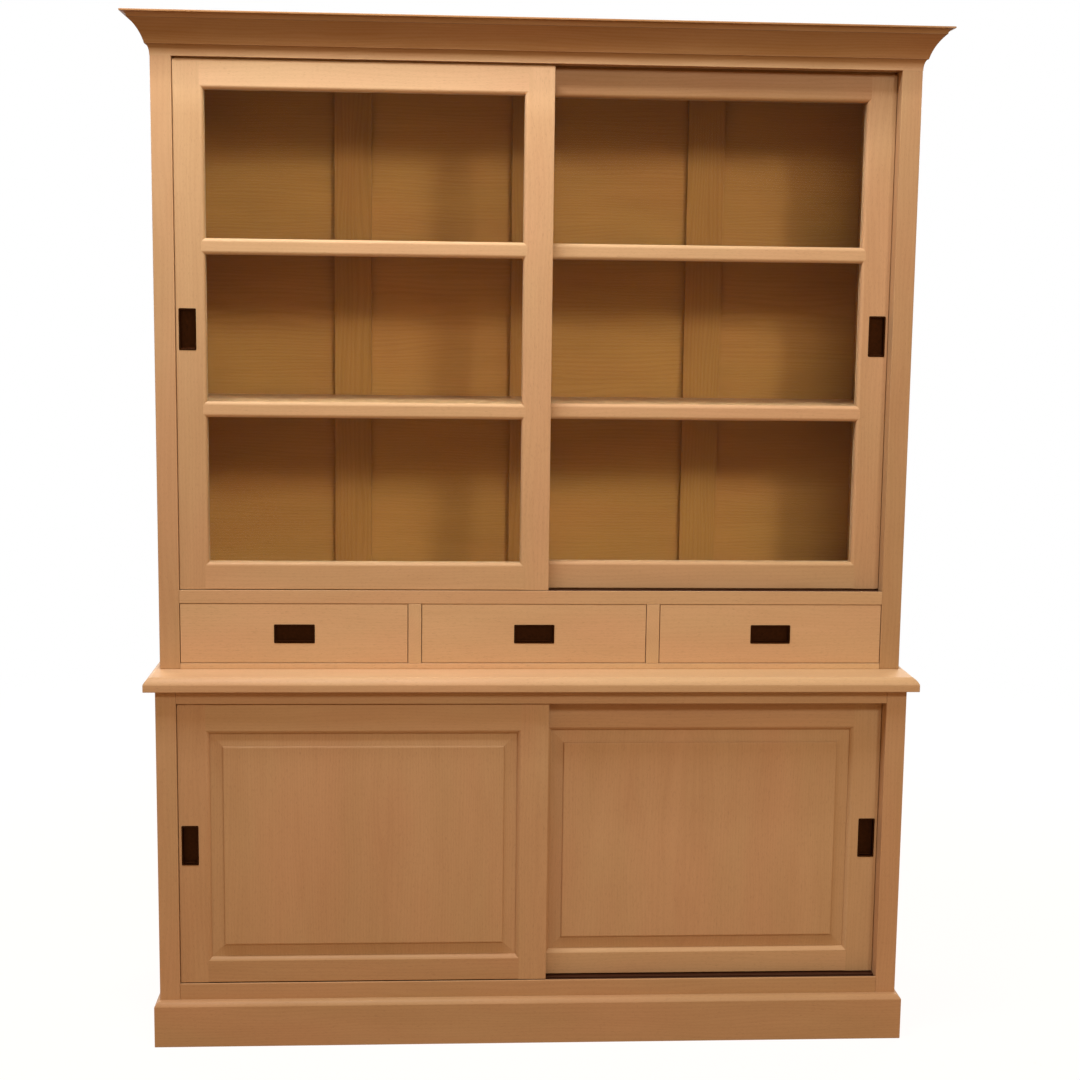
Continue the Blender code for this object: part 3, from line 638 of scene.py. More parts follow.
@dataclass(frozen=True)
class Hardwood:
    """Solid hardwood, left bare. Lengths are in millimetres.

    Sanded or planed but not polished, so it has a soft sheen and no clear reflection. Growth rings make
    faint bands and arches, fibres make fine streaks along the board, open pores make short dark dashes,
    and here and there the wood has a pink flush.
    """

    name: str
    slot: str
    light: str
    dark: str
    pore: str
    flush: str
    ring: float
    ring_show: float
    streak_show: float
    cloud_show: float
    pore_show: float
    flush_show: float
    roughness: float
    specular: float
    # How far two slow noises bend the rings, and how long and how wide their spots are
    bends: tuple[Triple, ...] = ((30.0, 420.0, 70.0), (8.0, 900.0, 14.0))
    # Fibres are a tenth of a millimetre wide; the streaks are drawn wide enough to show
    streak: Range = (150.0, 5.0)
    cloud: Range = (260.0, 55.0)
    drift: Range = (500.0, 160.0)
    # Pores are a fifth of a millimetre wide; they are drawn four times as wide to show
    pore_size: Range = (9.0, 0.8)

    def noise(self, tree: bpy.types.NodeTree, grain: Any, size: Range, detail: float) -> Any:
        """Noise stretched along the grain.

        Args:
            tree: The material's node tree.
            grain: The output that gives the place in the board, in metres.
            size: The length and the width of its spots, in millimetres.
            detail: How many finer layers it has.

        Returns:
            The output of the noise, from 0 to 1.
        """
        long, wide = size
        scale = (1 / (long * MM), 1 / (wide * MM), 1 / (wide * MM))
        placed = add_node(tree, "ShaderNodeVectorMath", {0: grain, 1: scale}, operation="MULTIPLY")
        links = {"Vector": placed, "Scale": 1.0, "Detail": detail, "Roughness": 0.55}
        return add_node(tree, "ShaderNodeTexNoise", links)

    def flush_ratio(self) -> tuple[float, ...]:
        """The flush colour over the light colour, at the brightness of the light colour."""
        ratio = np.array(linear(self.flush)) / np.array(linear(self.light))
        return tuple((ratio / ratio.mean()).clip(0, 1.2).tolist())

    def ring_bands(self, tree: bpy.types.NodeTree, grain: Any) -> Any:
        """Growth rings: the sine of the distance from the pith, which slow noises bend along the board.

        Args:
            tree: The material's node tree.
            grain: The output that gives the place in the board.

        Returns:
            The output of the bands, from 0 to 1.
        """
        links = {0: grain, 1: (0.0, 1.0, 1.0)}
        flat = add_node(tree, "ShaderNodeVectorMath", links, operation="MULTIPLY")
        away = add_node(tree, "ShaderNodeVectorMath", {0: flat}, "Value", operation="LENGTH")
        for reach, *size in self.bends:
            links = {0: self.noise(tree, grain, size, 1.0), 1: reach * MM, 2: away}
            away = add_node(tree, "ShaderNodeMath", links, operation="MULTIPLY_ADD")
        turns = 2 * math.pi / (self.ring * MM)
        phase = add_node(tree, "ShaderNodeMath", {0: away, 1: turns}, operation="MULTIPLY")
        wave = add_node(tree, "ShaderNodeMath", {0: phase}, operation="SINE")
        links = {"Value": wave, "From Min": -0.6, "From Max": 1.0}
        return add_node(tree, "ShaderNodeMapRange", links, interpolation_type="SMOOTHSTEP")

    def material(self) -> bpy.types.Material:
        """The material, in which grain and tone are read from each piece's own attributes."""
        made, tree, shader = new_material(self.name)
        grain = add_node(tree, "ShaderNodeAttribute", {}, "Vector", attribute_name="grain")
        total = add_node(tree, "ShaderNodeAttribute", {}, "Fac", attribute_name="tone")
        rings = self.ring_bands(tree, grain)
        streaks = self.noise(tree, grain, self.streak, 4.0)
        clouds = self.noise(tree, grain, self.cloud, 2.0)
        pores = self.noise(tree, grain, self.pore_size, 1.0)
        parts = ((rings, self.ring_show), (streaks, self.streak_show), (clouds, self.cloud_show))
        for part, show in parts:
            centred = add_node(tree, "ShaderNodeMath", {0: part, 1: 0.5}, operation="SUBTRACT")
            links = {0: centred, 1: show, 2: total}
            total = add_node(tree, "ShaderNodeMath", links, operation="MULTIPLY_ADD")
        links = {0: total, 6: opaque(self.light), 7: opaque(self.dark)}
        wood = add_node(tree, "ShaderNodeMix", links, 2, data_type="RGBA", clamp_factor=True)
        drift = self.noise(tree, grain, self.drift, 2.0)
        links = {"Value": drift, "From Min": 0.4, "From Max": 0.65, "To Max": self.flush_show}
        links = {0: add_node(tree, "ShaderNodeMapRange", links), 6: wood, 7: (*self.flush_ratio(), 1.0)}
        wood = add_node(tree, "ShaderNodeMix", links, 2, data_type="RGBA", blend_type="MULTIPLY")
        links = {"Value": pores, "From Min": 0.60, "From Max": 0.72, "To Max": self.pore_show}
        open_pore = add_node(tree, "ShaderNodeMapRange", links)
        links = {0: open_pore, 6: wood, 7: opaque(self.pore)}
        wood = add_node(tree, "ShaderNodeMix", links, 2, data_type="RGBA")
        links = {"Value": streaks, "To Min": self.roughness - 0.05, "To Max": self.roughness + 0.07}
        rough = add_node(tree, "ShaderNodeMapRange", links)
        links = {0: open_pore, 1: -0.6, 2: streaks}
        height = add_node(tree, "ShaderNodeMath", links, operation="MULTIPLY_ADD")
        links = {"Strength": 0.15, "Distance": 0.2 * MM, "Height": height}
        bump = add_node(tree, "ShaderNodeBump", links)
        set_inputs(tree, shader, {"Base Color": wood, "Roughness": rough, "Normal": bump})
        set_inputs(tree, shader, {"Specular IOR Level": self.specular})
        return made


@dataclass(frozen=True)
class PatinatedBronze:
    """Cast bronze, darkened in a bath and rubbed.

    Nearly black, with a brown cast where light rakes it and a dull, uneven sheen.
    """

    name: str
    slot: str
    dark: str
    rubbed: str
    rough: Range = (0.38, 0.58)

    def material(self) -> bpy.types.Material:
        """The material, with a slow mottle in colour and roughness and a fine cast grain."""
        made, tree, shader = new_material(self.name)
        set_inputs(tree, shader, {"Metallic": 1.0})
        place = add_node(tree, "ShaderNodeTexCoord", {}, "Object")
        # Patina gathers in patches of about 6 mm, and the cast skin has a grain of about 0.5 mm
        mottle = add_node(tree, "ShaderNodeTexNoise", {"Vector": place, "Scale": 160.0, "Detail": 3.0})
        skin = add_node(tree, "ShaderNodeTexNoise", {"Vector": place, "Scale": 2000.0, "Detail": 1.0})
        dress(tree, shader, mottle, (self.dark, self.rubbed), self.rough, skin, 0.2)
        return made


@dataclass(frozen=True)
class FloatGlass:
    """Clear float glass, 4 mm.

    Flat and colourless but for the faint green of its edges; lamps shine through it.
    """

    name: str
    slot: str
    tint: str
    # Matched to the panes of the photograph, which hardly reflect; plain glass has 1.5
    bending: float = 1.1

    def material(self) -> bpy.types.Material:
        """The material: smooth glass, which rays from lamps pass as they pass air."""
        made, tree, shader = new_material(self.name)
        set_inputs(tree, shader, {"Base Color": opaque(self.tint), "Roughness": 0.0})
        set_inputs(tree, shader, {"IOR": self.bending, "Transmission Weight": 1.0})
        lamps = add_node(tree, "ShaderNodeLightPath", {}, "Is Shadow Ray")
        clear = add_node(tree, "ShaderNodeBsdfTransparent", {"Color": (0.93, 0.94, 0.93, 1.0)})
        mixed = add_node(tree, "ShaderNodeMixShader", {0: lamps, 1: shader.outputs[0], 2: clear})
        set_inputs(tree, tree.nodes["Material Output"], {"Surface": mixed})
        return made


@dataclass(frozen=True)
class TrackPlastic:
    """Extruded polyamide of a sliding-door track.

    Dark brown, with fine drawing lines along it, a paler tone where the runners rub and a waxy sheen.
    """

    name: str
    slot: str
    colour: str
    worn: str
    rough: Range = (0.34, 0.5)

    def material(self) -> bpy.types.Material:
        """The material, with its lines along X."""
        made, tree, shader = new_material(self.name)
        place = add_node(tree, "ShaderNodeTexCoord", {}, "Object")
        # Drawing lines are about 1 mm apart and run for about 400 mm
        links = {0: place, 1: (2.5, 1000.0, 1000.0)}
        stretched = add_node(tree, "ShaderNodeVectorMath", links, operation="MULTIPLY")
        lines = add_node(tree, "ShaderNodeTexNoise", {"Vector": stretched, "Scale": 1.0})
        dress(tree, shader, lines, (self.colour, self.worn), self.rough, lines, 0.15)
        return made


Finish = Hardwood | PatinatedBronze | FloatGlass | TrackPlastic

BARE_HARDWOOD = Hardwood(
    name="sanded bare hardwood",
    slot="bare_hardwood",
    light="#DCBC90",
    dark="#8A5C27",
    pore="#7A5538",
    flush="#D8A885",
    ring=6.0,
    ring_show=0.035,
    streak_show=0.06,
    cloud_show=0.18,
    pore_show=0.25,
    flush_show=0.28,
    roughness=0.4,
    specular=0.12,
)
INNER_HARDWOOD = Hardwood(
    name="planed bare hardwood",
    slot="inner_hardwood",
    light="#DAB686",
    dark="#865825",
    pore="#74502F",
    flush="#D2A07A",
    ring=7.0,
    ring_show=0.07,
    streak_show=0.1,
    cloud_show=0.22,
    pore_show=0.3,
    flush_show=0.3,
    roughness=0.6,
    specular=0.08,
)
# Painted shade: a darker, warmer copy of the inner wood, standing in for the shade and warm bounced light
# inside the hutch
BACK_HARDWOOD_PAINTED_SHADE = replace(
    INNER_HARDWOOD,
    name="planed bare hardwood of the back",
    light="#D3A35A",
    dark="#7C4C1B",
    pore="#6B4526",
    flush="#BE844D",
)
DARK_BRONZE = PatinatedBronze("patinated cast bronze", "dark_bronze", "#1C0B03", "#381B0A")
CLEAR_GLASS = FloatGlass("clear float glass", "clear_glass", "#F7FAF8")
TRACK_PLASTIC = TrackPlastic("extruded polyamide", "track_plastic", "#34190C", "#452411")

# How much darker the glazed and the panelled door are: the frame, and on top its two outer rails.
# The glazed doors' top rails carry painted light and shade, which reaches down the tops of their stiles:
# a painted highlight on the left door and a painted shadow under the head rail on the right one.
DOOR_TONES_AND_PAINTED_SHADE: dict[str, tuple[Triple, Triple]] = {
    "left": ((0.0, -0.27, -0.02), (0.03, 0.0, 0.08)),
    "right": ((0.05, 0.23, -0.05), (-0.01, 0.0, -0.08)),
}


def add_object(name: str, data: Any) -> bpy.types.Object:
    """A new object of the scene that shows some data."""
    made = bpy.data.objects.new(name, data)
    bpy.context.scene.collection.objects.link(made)
    return made


class Bench:
    """Turns meshes into finished pieces of the frame and keeps one material for each finish."""

    middle_tone: float = 0.35
    tone_spread: float = 0.03
    # How far a board lies from the pith, in metres: along it, across it and through it
    shifts: tuple[Range, ...] = ((1, 9), (0.04, 0.12), (0.03, 0.09))

    def __init__(self, nodes: dict[str, Any]) -> None:
        """Takes the frame's CAD nodes."""
        self.nodes = nodes
        self.materials: dict[str, bpy.types.Material] = {}
        self.count = 0

    def material(self, finish: Finish) -> bpy.types.Material:
        """The material of a finish, made the first time that it is asked for."""
        if finish.name not in self.materials:
            self.materials[finish.name] = finish.material()
        return self.materials[finish.name]

    def mark_grain(self, mesh: bpy.types.Mesh, name: str, lay: Lay, tone: float | np.ndarray) -> None:
        """Writes the grain of a piece into its mesh.

        Each point gets its place along, across and through the board, shifted by amounts that follow from
        the piece's name, so that the pith lies 50 to 150 mm away and no two boards are cut alike.

        Args:
            mesh: The mesh of the piece.
            name: The name of the piece.
            lay: How its grain lies.
            tone: How much darker than the middle tone it is, as a whole or at each point.
        """
        random = np.random.default_rng(zlib.crc32(name.encode()))
        points = mesh_points(mesh)
        middle = (points.min(axis=0) + points.max(axis=0)) / 2
        grain = (points - middle)[:, lay.value]
        side = random.choice([-1.0, 1.0], 3)
        grain += side * [random.uniform(*span) for span in self.shifts]
        made = mesh.attributes.new("grain", "FLOAT_VECTOR", "POINT")
        made.data.foreach_set("vector", grain.astype(np.float32).ravel())
        spread = random.uniform(-self.tone_spread, self.tone_spread)
        shade = np.zeros(len(points)) + self.middle_tone + tone + spread
        made = mesh.attributes.new("tone", "FLOAT", "POINT")
        made.data.foreach_set("value", shade.astype(np.float32))

    def place(
        self, name: str, mesh: bpy.types.Mesh, finish: Finish, body: str, node: str = ""
    ) -> bpy.types.Object:
        """Makes a piece of a mesh that already stands where it belongs.

        Args:
            name: The name of the piece.
            mesh: Its mesh, in the frame's coordinates.
            finish: Its finish.
            body: The body that it rides on.
            node: The CAD node that it stands for, if that has another name.

        Returns:
            The piece.
        """
        piece = add_object(name, mesh)
        mesh.materials.append(self.material(finish))
        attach(piece, body)
        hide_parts(node or name)
        self.count += 1
        LOG.info("%s: %d points, on %s", name, len(mesh.vertices), body)
        return piece

    def wood(
        self,
        name: str,
        length: Length,
        finish: Hardwood = BARE_HARDWOOD,
        node: str = "",
        body: str = "cabinet",
        grain: Lay | None = None,
        tone: float = 0.0,
    ) -> bpy.types.Object:
        """Makes a wooden piece.

        Args:
            name: The name of the piece.
            length: The length of wood that it is.
            finish: Its finish.
            node: The CAD node that it stands for, if that has another name.
            body: The body that it rides on.
            grain: How its grain lies, if not along its length.
            tone: How much darker than the middle tone it is.

        Returns:
            The piece.
        """
        mesh = length.mesh(name)
        self.mark_grain(mesh, name, grain or length.lay, tone + length.shade(mesh_points(mesh)))
        return self.place(name, mesh, finish, body, node)

    def keep(self, node: str, finish: Finish) -> None:
        """Gives a CAD node that stays a finish of its own.

        Args:
            node: The node.
            finish: Its finish.
        """
        piece = self.nodes[node]
        piece.data.materials.clear()
        piece.data.materials.append(self.material(finish))
        self.count += 1
        LOG.info("%s: kept from the frame", node)


@dataclass
class Carcass:
    """What both carcasses share: side boards, rails and plain boards."""

    bench: Bench
    tone: float = 0.0
    sill_tone: float = 0.0
    housing: float = 6 * MM
    channel: float = 8 * MM
    channel_arris: float = 0.5 * MM
    guide: float = 12 * MM
    guide_width: float = 9 * MM
    recess: float = 6 * MM
    door: float = 25 * MM
    pitch: float = 29.3 * MM

    def side_board(self, node: str, shelves: tuple[str, ...], back: str) -> None:
        """A side board with its grain upright and a stopped housing for each shelf end.

        Args:
            node: The CAD node that it replaces.
            shelves: The nodes that stand in it.
            back: The node at whose face the housings end.
        """
        low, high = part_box(node)
        inner = Edge(grooves=tuple(groove_for(shelf, 2, low.z, self.housing) for shelf in shelves))
        edges = (EASED, inner) if low.x < 0 else (inner, EASED)
        side = board(Lay.RUNNER, (low, high))
        side.low, side.high = edges
        side.grooved_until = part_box(back)[0].y
        self.bench.wood(node, side, grain=Lay.FLANK, tone=self.tone)

    def head_rail(self, node: str) -> None:
        """A head rail with a guide groove for each door along its underside.

        Args:
            node: The CAD node that it replaces.
        """
        grooves = []
        for number in range(2):
            centre = self.recess + self.door / 2 + number * self.pitch
            grooves.append((centre - self.guide_width / 2, centre + self.guide_width / 2, self.guide))
        rail = board(Lay.RAIL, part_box(node), low=Edge(grooves=tuple(grooves)), ends=CRISP)
        self.bench.wood(node, rail, tone=self.tone)

    def sill_rail(self, node: str, track: str) -> None:
        """A sill rail with the channel of the track along its top.

        Args:
            node: The CAD node that it replaces.
            track: The CAD node that lies in its channel.
        """
        low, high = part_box(node)
        groove = groove_for(track, 1, low.y, self.channel)
        top = Edge(self.channel_arris, grooves=(groove,))
        rail = board(Lay.RAIL, (low, high), high=top, ends=CRISP)
        self.bench.wood(node, rail, tone=self.tone + self.sill_tone)

    def plain(self, lay: Lay, edge: Edge, finish: Hardwood, tone: float, *nodes: str) -> None:
        """Plain boards of one kind in the places of CAD nodes."""
        for node in nodes:
            self.bench.wood(node, board(lay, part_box(node), edge), finish, tone=tone)


@dataclass
class Base(Carcass):
    """The lower cupboard: its carcass, plinth and ledge."""

    tone: float = 0.03
    plinth_round: float = 10 * MM
    plinth_tone: float = 0.08
    ledge_round: float = 15 * MM
    ledge_foot: float = 1.5 * MM
    # Tone at the foot and at the top of the ledge; the paler top is a painted highlight
    ledge_painted_light: Range = (0.0, -0.2)
    bulge: float = 1.4

    def build(self) -> None:
        """Makes the pieces of the base that don't move."""
        for hand in HANDS:
            self.plain(Lay.STILE, EASED, BARE_HARDWOOD, self.tone, f"base_post_{hand}")
            self.side_board(f"base_side_{hand}", ("base_deck", "base_shelf"), "base_back")
        self.head_rail("base_head_rail")
        self.sill_rail("base_sill_rail", "base_door_track")
        self.plain(Lay.SHELF, THIN, INNER_HARDWOOD, 0.0, "base_deck", "base_shelf")
        self.plain(Lay.DIVIDER, THIN, INNER_HARDWOOD, 0.0, "base_shelf_upright")
        self.plain(Lay.RAIL, SAWN, INNER_HARDWOOD, 0.0, "base_back")
        self.bench.keep("base_door_track", TRACK_PLASTIC)
        self.ledge()
        self.plinth()

    def ledge(self) -> None:
        """The ledge, with its top rounded over along the front and both ends, and a painted highlight that
        makes it paler towards its top than at its foot.
        """
        low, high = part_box("ledge")
        foot, top = self.ledge_painted_light
        slab = board(Lay.RAIL, (low, high), low=Edge(self.ledge_foot))
        slab.high = Edge(self.ledge_round, bulge=self.bulge)
        slab.ends = (self.ledge_foot, self.ledge_round, 0.0, 0.0)
        # Painted highlight: the ledge gets paler from its foot up to its top
        slab.fade = (low.z, (top - foot) / (high.z - low.z))
        self.bench.wood("ledge", slab, grain=Lay.SHELF, tone=foot)

    def plinth(self) -> None:
        """The plinth boards, with their top edges rounded over outside."""
        top = Edge(self.plinth_round, 0.0, bulge=self.bulge)
        ends = (0.0, self.plinth_round, 0.0, 0.0)
        front = board(Lay.RAIL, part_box("plinth_front"), high=top, ends=ends)
        left, right = (
            board(Lay.DIVIDER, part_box(f"plinth_{hand}"), high=top, ends=CRISP) for hand in HANDS
        )
        right.depth = right.depth[::-1]
        for label, length in (("front", front), ("left", left), ("right", right)):
            self.bench.wood(f"plinth_{label}", length, tone=self.plinth_tone)


@dataclass
class Hutch(Carcass):
    """The glazed hutch: its carcass, shelves, framed back, cap and cornice."""

    sill_tone: float = -0.08
    post_tones: Range = (0.06, 0.14)
    # Painted light: the drawer dividers are paler, offsetting the shade in their recess between the drawer
    # fronts
    divider_tone: float = -0.2
    # Painted light: the hutch bottom is paler, standing in for the light that the ledge throws up on its
    # front edge
    bottom_tone: float = -0.27
    # Painted shade: the cap is darker, dimming the light on its thin fillet
    cap_painted_shade: float = 0.48
    back: str = "hutch_back_frame"
    stile: float = 84 * MM
    stiles: int = 3
    back_end: float = 12.5 * MM
    back_top: float = 45 * MM
    # Painted shade: how much darker the back gets a metre up from its foot
    back_painted_shade: float = 0.2
    frame_tone: float = 0.02
    sheet_tones: tuple[float, ...] = (-0.08, -0.1, -0.04, -0.08)
    cove: float = 38 * MM
    hollow: float = 4 * MM
    neck: float = 9.5 * MM
    neck_height: float = 23.5 * MM
    neck_step: float = 0.8 * MM

    def build(self) -> None:
        """Makes the pieces of the hutch that don't move."""
        shelves = ("display_floor", "shelf_lower", "shelf_upper")
        for hand, tone in zip(HANDS, self.post_tones):
            self.plain(Lay.STILE, EASED, BARE_HARDWOOD, tone, f"hutch_post_{hand}")
            self.side_board(f"hutch_side_{hand}", shelves, self.back)
            self.plain(Lay.DIVIDER, SAWN, INNER_HARDWOOD, 0.0, f"drawer_guide_{hand}")
            self.plain(Lay.DIVIDER, THIN, BARE_HARDWOOD, self.divider_tone, f"drawer_divider_{hand}")
        self.head_rail("hutch_head_rail")
        self.sill_rail("hutch_sill_rail", "hutch_door_track")
        # The hutch bottom's tone is painted light
        self.plain(Lay.SHELF, THIN, BARE_HARDWOOD, self.bottom_tone, "hutch_bottom")
        self.plain(Lay.SHELF, THIN, INNER_HARDWOOD, 0.0, *shelves)
        self.bench.keep("hutch_door_track", TRACK_PLASTIC)
        self.back_frame()
        self.cap()
        self.cornice()

    def cap(self) -> None:
        """The cap board, hollowed under its front and its ends down to a thin fillet."""
        cap = board(Lay.SHELF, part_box("hutch_cap"), kind=HollowedBoard, low=Edge(0.0))
        cap.ends = (0.0, 0.0, 0.0, ARRIS)
        self.bench.wood("hutch_cap", cap, tone=self.cap_painted_shade)

    def back_frame(self) -> None:
        """The back: two rails, a sheet, stiles between the rails and a thin stile at each side."""
        low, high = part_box(self.back)
        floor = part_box("display_floor")[1].z
        head = high.z - self.back_top
        end = -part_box("hutch_side_left")[1].x - self.back_end
        field = (2 * end - self.stiles * self.stile) / (self.stiles + 1)
        self.back_piece("bottom_rail", Lay.RAIL, grow((low, high), 2, low.z, floor - SEAM))
        self.back_piece("top_rail", Lay.RAIL, grow((low, high), 2, head + SEAM, high.z))
        self.back_sheet(field + self.stile)
        uprights = {}
        for number in range(self.stiles):
            start = -end + field + number * (field + self.stile)
            uprights[f"stile_{number + 1}"] = (start, start + self.stile)
        uprights |= {"edge_left": (low.x, -end), "edge_right": (end, high.x)}
        for label, span in uprights.items():
            box = grow(grow((low, high), 2, floor, head), 0, *span)
            self.back_piece(label, Lay.STILE, box)

    def back_piece(self, label: str, lay: Lay, box: Box) -> None:
        """One piece of the frame of the back, in the shaded copy of the inner wood and with painted shade
        that grows towards the top.
        """
        length = board(lay, box, THIN, fade=(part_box(self.back)[0].z, self.back_painted_shade))
        self.bench.wood(f"back_{label}", length, BACK_HARDWOOD_PAINTED_SHADE, self.back, tone=self.frame_tone)

    def back_sheet(self, pitch: float) -> None:
        """The sheet behind the frame: a board for each field, of its own tone and with painted shade that
        grows towards the top.
        Inside it takes the shaded copy of the inner wood, a painted shade, and outside the paler inner wood
        itself.

        Args:
            pitch: How far apart its joints are, which the stiles hide.
        """
        node = "hutch_back_sheet"
        low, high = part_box(node)
        joints = [low.x, *(pitch * number for number in (-1, 0, 1)), high.x]
        for number, tone in enumerate(self.sheet_tones):
            place = grow((low, high), 0, joints[number] + SEAM / 2, joints[number + 1] - SEAM / 2)
            length = board(Lay.RAIL, place, SAWN, fade=(low.z, self.back_painted_shade))
            sheet = self.bench.wood(f"back_sheet_{number + 1}", length, BACK_HARDWOOD_PAINTED_SHADE, node, tone=tone)
            sheet.data.materials.append(self.bench.material(INNER_HARDWOOD))
            outer = mesh_normals(sheet.data)[:, 1] > 0.5
            sheet.data.polygons.foreach_set("material_index", outer.astype(np.int32))

    def cornice_outline(self, height: float) -> tuple[np.ndarray, np.ndarray]:
        """The face of the cornice, from its foot up.

        The neck swells by a quarter of an ellipse and ends in a small step. Above it a straight line runs
        up to the cap, hollowed by 4 h t (1 - t) square to itself, where t runs from 0 to 1.

        Args:
            height: The height of the cornice.

        Returns:
            Heights above its foot, and how far the face stands out there.
        """
        angle = np.linspace(0, math.pi / 2, 9)
        step = self.neck_height - self.neck_step
        swell = self.neck - self.neck_step / 2
        neck = np.stack([step * np.sin(angle), FIT + (swell - FIT) * (1 - np.cos(angle))], axis=1)
        riser = np.array([[step + HAIR, self.neck]])
        t = np.linspace(0, 1, 25)[:, None]
        foot = np.array([self.neck_height, self.neck])
        chord = np.array([height, self.cove]) - foot
        inward = np.array([chord[1], -chord[0]]) / np.hypot(*chord)
        face = foot + chord * t + inward * (4 * self.hollow * t * (1 - t))
        outline = np.concatenate([neck, riser, face])
        return outline[:, 0], outline[:, 1]

    def cornice(self) -> None:
        """The cornice: a front length and two returns, mitred at the corners."""
        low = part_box("hutch_head_rail")[0]
        cap_low, cap_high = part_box("hutch_cap")
        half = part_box("hutch_post_right")[1].x
        top = cap_low.z - FIT
        heights, reach = self.cornice_outline(top - low.z)
        joint = FIT / math.sqrt(2)
        back = (low.y + joint, cap_high.y)
        for label, lay, along, face, out, end in (
            ("front", Lay.SHELF, (-half + joint, half - joint), low.y, -1, Cut.MITRED),
            ("left", Lay.RUNNER, back, -half, -1, Cut.SQUARE),
            ("right", Lay.RUNNER, back, half, 1, Cut.SQUARE),
        ):
            length = Moulding(lay, along, (face, face + out), (low.z, top), ends=CRISP)
            length.cuts = (Cut.MITRED, end)
            length.heights, length.reach = heights, reach
            self.bench.wood(f"cornice_{label}", length)


@dataclass(frozen=True)
class FlushPull:
    """A flush cup pull: a softly rounded rim and a cup behind it."""

    rim: float = 3.5 * MM
    corner: float = 2.4 * MM
    least_corner: float = 0.5 * MM
    soft: float = 0.7 * MM
    proud: float = 0.8 * MM
    floor: float = 2.6 * MM
    fillet: float = 1.6 * MM

    def pocket(self, node: str, lay: Lay) -> Pocket:
        """The mortise that the pull fills in its host.

        Args:
            node: The pull's CAD node.
            lay: How the host lies.

        Returns:
            The mortise, a seam larger than the pull.
        """
        low, high = (np.array(corner)[list(lay.value)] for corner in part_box(node))
        middle = (low + high) / 2
        half = (high - low) / 2 + SEAM
        deep = high[2] - low[2] - self.proud + SEAM
        return Pocket(*middle[:2], *half[:2], deep, self.corner + SEAM)

    def mesh(self, node: str) -> bpy.types.Mesh:
        """The pull as one closed mesh.

        Rings of a rounded rectangle are stacked from the back, over the rim and down into the cup. Each
        ring is set in from the outline by a distance and stands at a depth, and both follow quarter
        circles at the rim's edges and at the foot of the cup.

        Args:
            node: The CAD node that the pull replaces.

        Returns:
            The mesh.
        """
        low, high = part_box(node)
        turn = np.linspace(0, math.pi / 2, 5)
        fall, rise = 1 - np.sin(turn), 1 - np.cos(turn)
        into = self.rim - self.soft * fall
        insets = [[0.0, 0.0], self.soft * rise[1:], into, self.rim + self.fillet * rise]
        edge = [high.y, low.y + self.soft]
        cup = high.y - self.floor - self.fillet * fall
        depths = [edge, low.y + self.soft * fall[1:], low.y + self.soft * rise, cup]
        half_x, half_z = (high.x - low.x) / 2, (high.z - low.z) / 2
        middle = ((low.x + high.x) / 2, (low.z + high.z) / 2)
        rings = []
        for inset, depth in zip(np.concatenate(insets), np.concatenate(depths)):
            corner = max(self.corner - inset, self.least_corner)
            outline = rounded_rectangle(half_x - inset, half_z - inset, corner)
            rings.append(np.insert(outline + middle, 1, depth, axis=1))
        return ringed_mesh(node, np.array(rings))

    def build(self, bench: Bench, node: str, body: str) -> None:
        """Makes the pull in the place of its CAD node."""
        bench.place(node, self.mesh(node), DARK_BRONZE, body)


